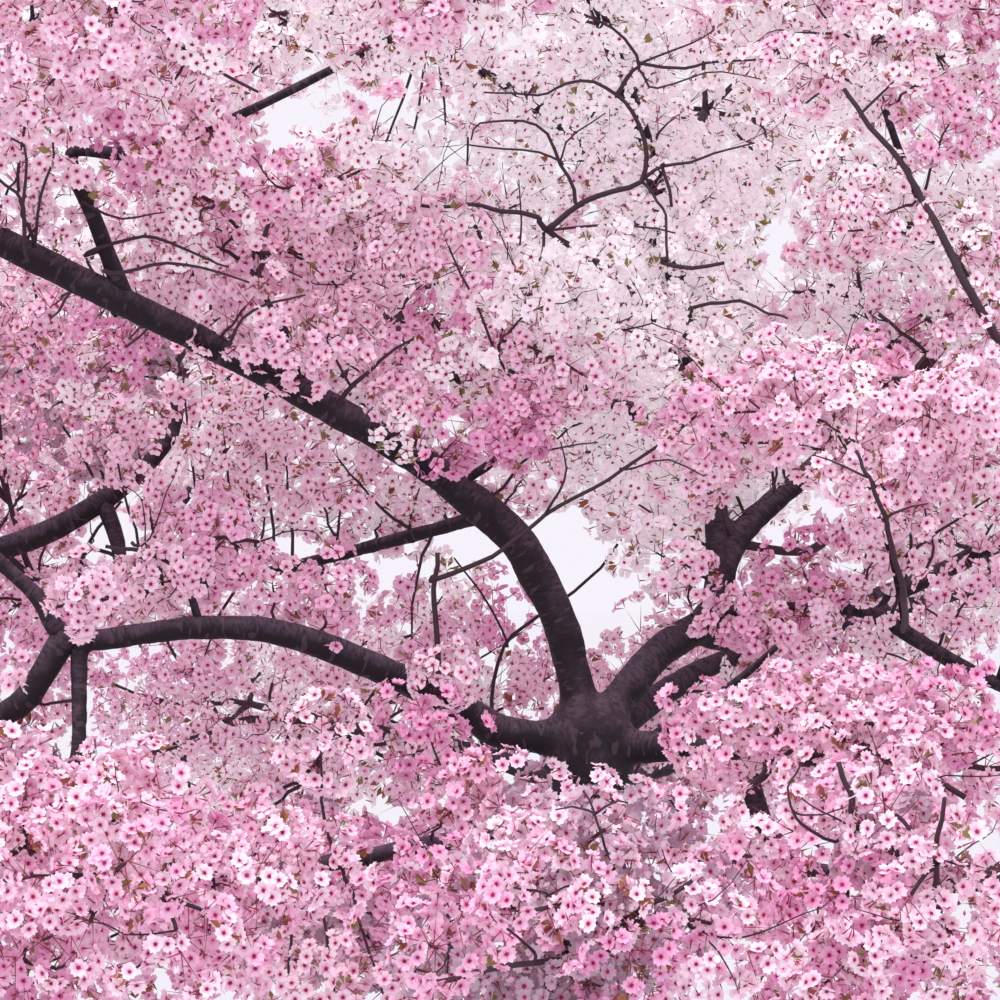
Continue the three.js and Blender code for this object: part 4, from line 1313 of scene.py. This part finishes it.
class CHERRY_OT_wood(bpy.types.Operator):
    """Model the trunk and the limbs, fuse them and raise the relief of the bark"""
    bl_idname = "cherry.wood"
    bl_label = "Trunk and boughs"

    def execute(self, context):
        sizes = context.scene.cherry_sizes
        bark = bark_finish(context.scene.cherry_colours)
        routes = list(wood_routes().values())
        stout = [route for route in routes if route.rings[-1][1] >= THIN_TIP]
        thin = [route for route in routes if route.rings[-1][1] < THIN_TIP]
        wood, paths = model_limbs(stout, "trunk_and_boughs")
        apply_modifier(wood, "REMESH", mode="VOXEL", voxel_size=sizes.voxel)
        apply_modifier(wood, "SMOOTH", factor=0.5, iterations=4)
        blend_fork(wood)
        shape_bark(wood, paths, sizes.relief)
        apply_modifier(wood, "DECIMATE", ratio=sizes.grain)
        limbs, limb_paths = model_limbs(thin + bare_routes(), "thin_limbs")
        shape_bark(limbs, limb_paths, sizes.relief)
        for piece, carried in ((wood, stout), (limbs, thin)):
            select_only(piece)
            bpy.ops.object.shade_smooth()
            finish_piece(piece, bark, "bark", [route.name for route in carried])
        return {"FINISHED"}


TWIG_STEPS = 7
CROOK = (6.0, 0.010)                       # how soon and how far a twig strays


def twig_points(twig, seed):
    """Points along a twig, a little crooked between its ends."""
    scale, most = CROOK
    return [twig.point(t) + stray(seed, t, scale) * (most * min(1, 5 * t * (1 - t)))
            for t in np.linspace(0, 1, TWIG_STEPS + 1)]


def twig_path(twig, joints, stem, sprays, tip, seed):
    """Points and radii of a mass's twig, as stout as its share of the sprays asks for."""
    radii = [mix(tip, stem, math.sqrt(joint.load / max(1, sprays))) for joint in joints]
    shares = np.linspace(0, 1, TWIG_STEPS + 1)
    return twig_points(twig, seed), np.interp(shares, np.linspace(0, 1, len(radii)), radii)


SHOOTS = 14                                # bare shoots that each mass sends out
SHOOT_LENGTHS = (0.14, 0.34)
SHOOT_RADII = (0.0024, 0.0010)
SHOOT_STEPS = 6
SHOOT_OUT = 1.2                            # how much they head out of the mass, and up
SHOOT_UP = 0.7
SHOOT_TURN = (0.22, 0.05)                  # at each step, at random and up
SHOOT_ROOM = (0.06, 0.005)                 # past the space, and from the limbs


def bare_shoots(space, twigs, rng):
    """Thin crooked shoots without flowers, that stay in the space and clear of the wood."""
    joints = [joint for twig in twigs for joint in twig.joints[1:]]
    for _ in range(SHOOTS):
        joint = joints[rng.integers(len(joints))]
        way = Vector(rng.normal(size=3)) + (joint.place - space.centre).normalized() * SHOOT_OUT
        way = (way + Vector((0, 0, SHOOT_UP))).normalized()
        length = rng.uniform(*SHOOT_LENGTHS)
        points = [joint.place]
        for _ in range(SHOOT_STEPS):
            way = way + Vector(rng.normal(size=3)) * SHOOT_TURN[0] + Vector((0, 0, SHOOT_TURN[1]))
            way.normalize()
            points.append(points[-1] + way * length / SHOOT_STEPS)
        past, from_limbs = SHOOT_ROOM
        if all(space.depth(point, past) < 1 and clear_of_limbs(point, from_limbs)
               for point in points[1:]):
            yield points, np.linspace(*SHOOT_RADII, len(points))


WOOD_PLACES = 61                           # places that are tried along each limb
TWIG_PLACES = np.linspace(0.1, 1, 10)      # and along each twig of a mass
BARE_STEP = 0.03
BARE_CROOK = (0.4, 0.008)                  # from step to step, and how far
BARE_SEED = 900


def wood_places(per_volume):
    """Places in the middle of all the limbs and twigs, close together."""
    routes = [*wood_routes().values(), *bare_routes()]
    places = [route.point((len(route.places) - 1) * share) for route in routes
              for share in np.linspace(0, 1, WOOD_PLACES)]
    return places + [twig.point(share) for *_, twigs, _ in crown(per_volume)
                     for twig in twigs for share in TWIG_PLACES]


def bare_twigs(per_volume):
    """Points and radii of the bare twigs, each rooted in the nearest wood."""
    wood = wood_places(per_volume)
    scale, most = BARE_CROOK
    for n, (radii, places) in enumerate(BARE_TWIGS):
        radii, places = metres(radii), [from_fork(place) for place in places]
        foot = min(wood, key=lambda place: (place - places[0]).length)
        if (foot - places[0]).length > radii[0]:
            places.insert(0, foot)
        route = Route("bare", places)
        last = len(route.places) - 1
        count = math.ceil(route.length() / BARE_STEP)
        points = [route.point(last * i / count) + stray(BARE_SEED + n, i, scale) * most
                  for i in range(count + 1)]
        wood += points
        yield points, np.linspace(*radii, len(points))


STEM_SIDES = 7
BARE_SIDES = 6
STOUT_SIDES = 5
TWIG_SIDES = 4
SHOOT_SIDES = 3
STOUT_TWIG = 0.005                         # twigs with a thicker foot than this are stout
STEM_ROOT = (0.6, 0.9)                     # how far it reaches into the limb, and how stout
TWIG_SEEDS = (100, 50)                     # from mass to mass, and the first
SHOOT_SEED = 11
SIDE_SEED = 77
SIDE_TWIG_SEED = 5000


class CHERRY_OT_twigs(bpy.types.Operator):
    """Grow the stems and twigs of every mass on from the limbs"""
    bl_idname = "cherry.twigs"
    bl_label = "Twigs"

    def execute(self, context):
        sizes = context.scene.cherry_sizes
        heap = Heap()
        for number, name, _, limb, space, twigs, sprays in crown(sizes.sprays):
            limb_tip = limb.rings[-1][1]
            stem = limb_tip * TWIG_ROOT_SHARE
            for n, twig in enumerate(twigs):
                joints = twig.joints[1:] if n == 0 else twig.joints
                seed = TWIG_SEEDS[0] * number + n + TWIG_SEEDS[1]
                points, radii = twig_path(twig, joints, stem, len(sprays), sizes.twig_tip, seed)
                sides = STOUT_SIDES if radii[0] > STOUT_TWIG else TWIG_SIDES
                if n == 0:
                    root, collar = (joint.place for joint in twig.joints[:2])
                    points = [root - (collar - root) * STEM_ROOT[0], root] + points
                    radii = [limb_tip * STEM_ROOT[1], stem, *radii]
                    sides = STEM_SIDES
                heap.add(*tube(points, radii, sides), name)
            rng = np.random.default_rng([SHOOT_SEED, number])
            for points, radii in bare_shoots(space, twigs, rng):
                heap.add(*tube(points, radii, SHOOT_SIDES), name)
        for n, (_, _, twig, _) in enumerate(side_sprays()):
            points = twig_points(twig, SIDE_TWIG_SEED + n)
            radii = np.linspace(SIDE_RADIUS, sizes.twig_tip, len(points))
            heap.add(*tube(points, radii, TWIG_SIDES))
        for points, radii in bare_twigs(sizes.sprays):
            heap.add(*tube(points, radii, BARE_SIDES))
        heap.make("twigs", twig_finish(context.scene.cherry_colours), "bark")
        return {"FINISHED"}


SPINE_SHARE = 0.55                         # how far a spray's twig runs on past its middle
SPINE_FOOT = 0.8                           # and how far before it twiglets may leave it
UMBEL_REACH = (0.50, 1.12)                 # from a spray's middle, in its radii
UMBEL_STRAY = 0.2
UMBEL_STRETCH = 0.25                       # sprays are longer along their twig
TWIGLET_RUN = 0.03                         # how far a twiglet leans along it
TWIGLET_WIDTH = 0.0015


class Spray:
    """A spray of blossom: umbels round the end of a twig, each with a few flowers."""

    def __init__(self, seeds, middle, radius, twig, sizes):
        self.rng = np.random.default_rng(seeds)
        self.middle = np.array(middle)
        self.radius = radius
        self.heading = np.array((twig.point(1) - twig.point(0.8)).normalized())
        count = sizes.umbels
        height = 1 - 2 * (np.arange(count) + 0.5) / count
        around = GOLDEN_TURN * np.arange(count) + self.rng.uniform(0, 2 * np.pi)
        level = np.sqrt(1 - height ** 2)
        side = square_to(self.heading, across(self.heading))
        other = np.cross(self.heading, side)
        out = (self.heading * height[:, None] + side * (level * np.cos(around))[:, None]
               + other * (level * np.sin(around))[:, None])
        self.out = unit(out + self.rng.normal(scale=UMBEL_STRAY, size=out.shape))
        reach = radius * self.rng.uniform(*UMBEL_REACH, count)
        stretched = self.out + self.heading * (self.out @ self.heading * UMBEL_STRETCH)[:, None]
        self.umbels = self.middle + stretched * reach[:, None]

    def twiglets(self):
        """Slim cones of wood from the spray's own stretch of twig to each umbel."""
        run = (self.umbels - self.middle) @ self.heading - TWIGLET_RUN
        lean = np.clip(run, -self.radius * SPINE_FOOT, self.radius * SPINE_SHARE)
        ends = np.vstack([self.umbels, self.middle + self.heading * self.radius * SPINE_SHARE])
        feet = np.vstack([self.middle + self.heading * lean[:, None], self.middle])
        return stalks(ends, feet, TWIGLET_WIDTH)


# A petal as points (out from the middle, to the side, up), in flower radii, and its triangles
PLAIN_PETAL = (np.array(((0.06, 0, 0), (0.70, 0.47, 0.17), (1.0, 0, 0.20), (0.70, -0.47, 0.17))),
               np.array(((0, 3, 2), (0, 2, 1))))
FINE_PETAL = (np.array(((0.06, 0, 0), (0.58, 0.47, 0.14), (0.98, 0.27, 0.26), (0.87, 0, 0.18),
                        (0.98, -0.27, 0.26), (0.58, -0.47, 0.14))),
              np.array(((0, 5, 4), (0, 4, 3), (0, 3, 2), (0, 2, 1))))
CORE_PETAL = (np.array(((0.05, 0, 0), (0.92, 0.46, 0.20), (0.92, -0.46, 0.20))),
              np.array(((0, 2, 1),)))
PETALS = 5
EYE_STAR = np.array([(0.30 * math.cos(a), 0.30 * math.sin(a), 0.15) for a in
                     [2 * math.pi * n / 3 + turn for turn in (0, math.pi / 3) for n in range(3)]])
PETAL_TURN = 0.06                          # how unevenly petals stand round the middle
PETAL_TILT = (0.12, 0.16)                  # how far they close, and how unevenly
PETAL_TWIST = 0.20
RIM_ANGLES = (0, 2.1, 4.2)                 # of small three-sided cones
ASKEW = (0.31, 0.52, 0.79)                 # a direction that hardly any stalk has
CONE = ((0, 2, 1), (0, 3, 2), (0, 1, 3))   # from its tip, which comes first
BUD_WAIST = 0.45                           # where a bud is widest
LEAF_WAIST = (0.5, 0.24, 0.12)             # along, to the side and up


def flower_frames(normals, rng):
    """Two directions square to each flower's own, turned at random."""
    level = unit(np.cross(normals, rng.normal(size=normals.shape)))
    return level, np.cross(normals, level)


def petals(centres, normals, radii, rng, petal):
    """Corners, triangles and reach out on the petal, for five petals round each centre."""
    shape, faces = petal
    u, v = flower_frames(normals, rng)
    count = len(centres)
    uneven = rng.normal(scale=PETAL_TURN, size=(count, PETALS))
    angles = 2 * np.pi * np.arange(PETALS) / PETALS + uneven
    cos, sin = np.cos(angles)[..., None], np.sin(angles)[..., None]
    out = u[:, None] * cos + v[:, None] * sin
    side = -u[:, None] * sin + v[:, None] * cos
    tilt = rng.normal(*PETAL_TILT, (count, PETALS, 1))
    twist = rng.normal(scale=PETAL_TWIST, size=(count, PETALS, 1))
    r, s, h = (shape[:, n][None, None, :, None] for n in range(3))
    up = h + tilt[..., None] * r + twist[..., None] * s
    scale = radii[:, None, None, None]
    corners = (centres[:, None, None] + scale * (
        out[:, :, None] * r + side[:, :, None] * s + normals[:, None, None] * up))
    total = count * PETALS
    return corners.reshape(-1, 3), repeated(faces, total, len(shape)), np.tile(shape[:, 0], total)


def eyes(centres, normals, radii, rng, points):
    """A small red star over the middle of each flower, of three points or of six."""
    u, v = flower_frames(normals, rng)
    x, y, z = (EYE_STAR[:points, n][None, :, None] for n in range(3))
    star = u[:, None] * x + v[:, None] * y + normals[:, None] * z
    corners = centres[:, None] + radii[:, None, None] * star
    return corners.reshape(-1, 3), np.arange(len(centres) * points).reshape(-1, 3)


def repeated(faces, count, corners):
    """The same triangles again and again, for things of this many corners each."""
    starts = corners * np.arange(count)
    return (starts[:, None, None] + np.array(faces)).reshape(-1, 3)


def rim_round(middles, ways, width):
    """Three corners round each of these middles, square to its way."""
    side = unit(np.cross(ways, ASKEW))
    other = np.cross(ways, side)
    return [middles + width * (side * math.cos(a) + other * math.sin(a)) for a in RIM_ANGLES]


def stalks(roots, tops, width):
    """A slim three-sided cone from each root, widest under its flower."""
    rim = rim_round(tops, unit(tops - roots), width)
    corners = np.stack([roots, *rim], 1).reshape(-1, 3)
    return corners, repeated(CONE, len(roots), 4)


def buds(centres, ways, length, width):
    """A closed bud: two three-sided cones, foot to foot."""
    rim = rim_round(centres + ways * length * BUD_WAIST, ways, width)
    corners = np.stack([centres, *rim, centres + ways * length], 1).reshape(-1, 3)
    return corners, repeated((*CONE, (4, 1, 2), (4, 2, 3), (4, 3, 1)), len(centres), 5)


def leaves(roots, ways, lengths, rng):
    """Small leaves folded along the middle, two triangles each."""
    side = unit(np.cross(ways, rng.normal(size=ways.shape)))
    up = np.cross(side, ways)
    along, half, rise = LEAF_WAIST
    edges = [ways * along + side * off + up * rise for off in (half, -half)]
    long = lengths[:, None]
    corners = np.stack([roots, *(roots + long * way for way in (edges[0], ways, edges[1]))], 1)
    return corners.reshape(-1, 3), repeated(((0, 3, 2), (0, 2, 1)), len(roots), 4)


UMBEL_TILT = (0.35, 1.45)                  # how far a flower leans out of its umbel's way
BUD_SHARE = 0.06
STALK_SHARES = (0.25, 0.5)                 # flowers with a stalk, beyond the view and in it
TUFT_SHARE = 0.26                          # umbels that have a tuft of young leaves
TUFT_LEAVES = 4
TUFT_SPREAD = 0.5
TUFT_FOOT = 0.010
GREEN_SHARE = 0.45                         # sprays whose leaves have turned green
SEEN_DEPTH = 0.75                          # nearer than this, and in the frame, most flowers
FINE_DEPTH = -0.22                         # nearer than this, and in the frame, notched petals
CORE_DEPTH = 0.60                          # deeper in a mass than this, petals are plainest
FRAME_ROOM = 0.12
UMBEL_TURN = 0.25                          # how unevenly flowers stand round their umbel
STALK_LENGTHS = (0.75, 1.2)                # shares of the sizes
FLOWER_WIDTHS = (0.88, 1.08)
LEAF_LENGTHS = (0.6, 1.15)
STALK_WIDTH = 0.0022
BUD_LENGTH, BUD_WIDTH = 0.013, 0.0035
FACING = (0.35, 0.22)                      # how flowers turn out of their spray, and at random


def in_view(middle, depth):
    """True in the photograph's frame and nearer than this depth behind the fork."""
    off = Vector(middle) - FORK - VIEW_OFFSET
    half = VIEW_WIDTH / 2 * off.y / -VIEW_OFFSET.y + FRAME_ROOM
    return abs(off.x) < half and abs(off.z) < half and off.y + VIEW_OFFSET.y < depth


def all_sprays(sizes):
    """Every spray with the node of its mass, if it has one, its tint and if it lies deep inside."""
    for number, name, tint, _, space, _, sprays in crown(sizes.sprays):
        for middle, radius, twig, k in sprays:
            if in_reach(middle) and not in_open_place(middle, radius):
                spray = Spray([number, k], middle, radius * sizes.spray_share, twig, sizes)
                yield name, tint_at(middle, tint), spray, space.depth(middle, 0) < CORE_DEPTH
    for n, (middle, radius, twig, tint) in enumerate(side_sprays()):
        spray = Spray([SIDE_SEED, n], middle, radius, twig, sizes)
        yield None, tint_by_height(middle, tint), spray, False


def umbel_ways(outs, count, rng):
    """The ways of each umbel's flowers: evenly round its own way out, and well apart."""
    level = unit(np.cross(outs, rng.normal(size=outs.shape)))
    other = np.cross(outs, level)
    uneven = rng.normal(scale=UMBEL_TURN, size=(len(outs), count))
    around = (2 * np.pi * np.arange(count) / count + uneven)[..., None]
    tilt = rng.uniform(*UMBEL_TILT, (len(outs), count))[..., None]
    sideways = level[:, None] * np.cos(around) + other[:, None] * np.sin(around)
    ways = outs[:, None] * np.cos(tilt) + sideways * np.sin(tilt)
    return ways.reshape(-1, 3)


def deal_shade(tint, rng):
    return int(rng.choice(len(SHADES), p=SHADE_SHARES[tint]))


def leaf_tufts(spray, length):
    """Young leaves at some umbels of a spray, if any: which of the two kinds, and their mesh."""
    rng = spray.rng
    tufts = np.flatnonzero(rng.random(len(spray.umbels)) < TUFT_SHARE)
    if not len(tufts):
        return []
    out, feet = (np.repeat(rows[tufts], TUFT_LEAVES, 0) for rows in (spray.out, spray.umbels))
    ways = unit(out + rng.normal(scale=TUFT_SPREAD, size=out.shape))
    feet = feet + ways * TUFT_FOOT
    lengths = length * rng.uniform(*LEAF_LENGTHS, len(feet))
    green = int(rng.random() < GREEN_SHARE)
    return [(green, leaves(feet, ways, lengths, rng))]


class CHERRY_OT_blossom(bpy.types.Operator):
    """Open the flowers of every spray, with their middles, stalks, buds and young leaves"""
    bl_idname = "cherry.blossom"
    bl_label = "Blossom"

    def execute(self, context):
        sizes, colours = context.scene.cherry_sizes, context.scene.cherry_colours
        petal_heaps = [Heap() for _ in SHADES]
        eye_heap, stalk_heap, bud_heap = Heap(), Heap(), Heap()
        leaf_heaps = [Heap(), Heap()]
        for name, tint, spray, deep in all_sprays(sizes):
            rng = spray.rng
            seen = in_view(spray.middle, SEEN_DEPTH)
            count = sizes.flowers if seen else sizes.flowers_beyond
            petal = CORE_PETAL if deep and not seen else PLAIN_PETAL
            if in_view(spray.middle, FINE_DEPTH):
                petal = FINE_PETAL
            out = np.repeat(spray.out, count, 0)
            roots = np.repeat(spray.umbels, count, 0)
            ways = umbel_ways(spray.out, count, rng)
            lengths = sizes.pedicel * rng.uniform(*STALK_LENGTHS, len(ways))
            tops = roots + ways * lengths[:, None]
            uneven = rng.normal(scale=FACING[1], size=out.shape)
            normals = unit(ways + out * FACING[0] + uneven)
            radii = sizes.flower / 2 * rng.uniform(*FLOWER_WIDTHS, len(ways))
            closed = rng.random(len(ways)) < BUD_SHARE
            shown = rng.random(len(ways)) < STALK_SHARES[seen]
            opened = ~closed
            corners, faces, reach = petals(tops[opened], normals[opened], radii[opened], rng, petal)
            petal_heaps[deal_shade(tint, rng)].add(corners, faces, name, reach)
            red = opened & (rng.random(len(ways)) < EYE_SHARES[tint])
            eye_heap.add(*eyes(tops[red], normals[red], radii[red], rng, 6 if seen else 3), name)
            stalk_heap.add(*stalks(roots[shown], tops[shown], STALK_WIDTH), name)
            stalk_heap.add(*spray.twiglets(), name)
            if closed.any():
                bud_heap.add(*buds(tops[closed], ways[closed], BUD_LENGTH, BUD_WIDTH), name)
            for green, lot in leaf_tufts(spray, sizes.leaf):
                leaf_heaps[green].add(*lot, name)
        for n, (shade, slot, heap) in enumerate(zip(SHADES, SHADE_SLOTS, petal_heaps)):
            colour = getattr(colours, "petal_" + shade)
            throat = [mix(a, b, SHADE_THROATS[n]) for a, b in zip(colour, colours.throat)]
            finish = soft_finish("petals_" + shade, colour, SHADE_GLOWS[n], throat=throat)
            heap.make("petals_" + shade, finish, slot)
        # Middles, stalks and buds get a faint glow of their own colour too: painted light.
        for name, heap, colour, glow, slot in (
                ("flower_middles", eye_heap, colours.eye, 0.05, "flower_eye"),
                ("flower_stalks", stalk_heap, colours.stalk, 0.02, "flower_stalk"),
                ("flower_buds", bud_heap, colours.bud, 0.03, "flower_stalk")):
            heap.make(name, soft_finish(name, colour, glow), slot)
        for name, heap, colour in (("young_leaf_bronze", leaf_heaps[0], colours.leaf_bronze),
                                   ("young_leaf_green", leaf_heaps[1], colours.leaf_green)):
            # Young leaves get a faint glow of their own colour: painted light.
            finish = soft_finish(name, colour, 0.02, roughness=0.5, unevenness=0.25, scale=30)
            heap.make(name, finish, "young_leaf")
        return {"FINISHED"}


class CHERRY_PT_tree(bpy.types.Panel):
    """The tree's pieces, in the order in which they are made"""
    bl_label = "Cherry tree"
    bl_idname = "CHERRY_PT_tree"
    bl_space_type = "VIEW_3D"
    bl_region_type = "UI"
    bl_category = "Cherry"

    def draw(self, context):
        for operator in OPERATORS:
            self.layout.operator(operator.bl_idname)
        for group in (context.scene.cherry_sizes, context.scene.cherry_colours):
            for name in group.bl_rna.properties.keys():
                if name not in ("rna_type", "name"):
                    self.layout.prop(group, name)


OPERATORS = (CHERRY_OT_stage, CHERRY_OT_wood, CHERRY_OT_twigs, CHERRY_OT_blossom)
CLASSES = (TreeSizes, TreeColours, *OPERATORS, CHERRY_PT_tree)


def register():
    for cls in CLASSES:
        bpy.utils.register_class(cls)
    bpy.types.Scene.cherry_sizes = PointerProperty(type=TreeSizes)
    bpy.types.Scene.cherry_colours = PointerProperty(type=TreeColours)


def unregister():
    del bpy.types.Scene.cherry_colours
    del bpy.types.Scene.cherry_sizes
    for cls in reversed(CLASSES):
        bpy.utils.unregister_class(cls)


def main():
    register()
    bpy.ops.cherry.stage()
    bpy.ops.cherry.wood()
    bpy.ops.cherry.twigs()
    bpy.ops.cherry.blossom()


if __name__ == "__main__":
    main()
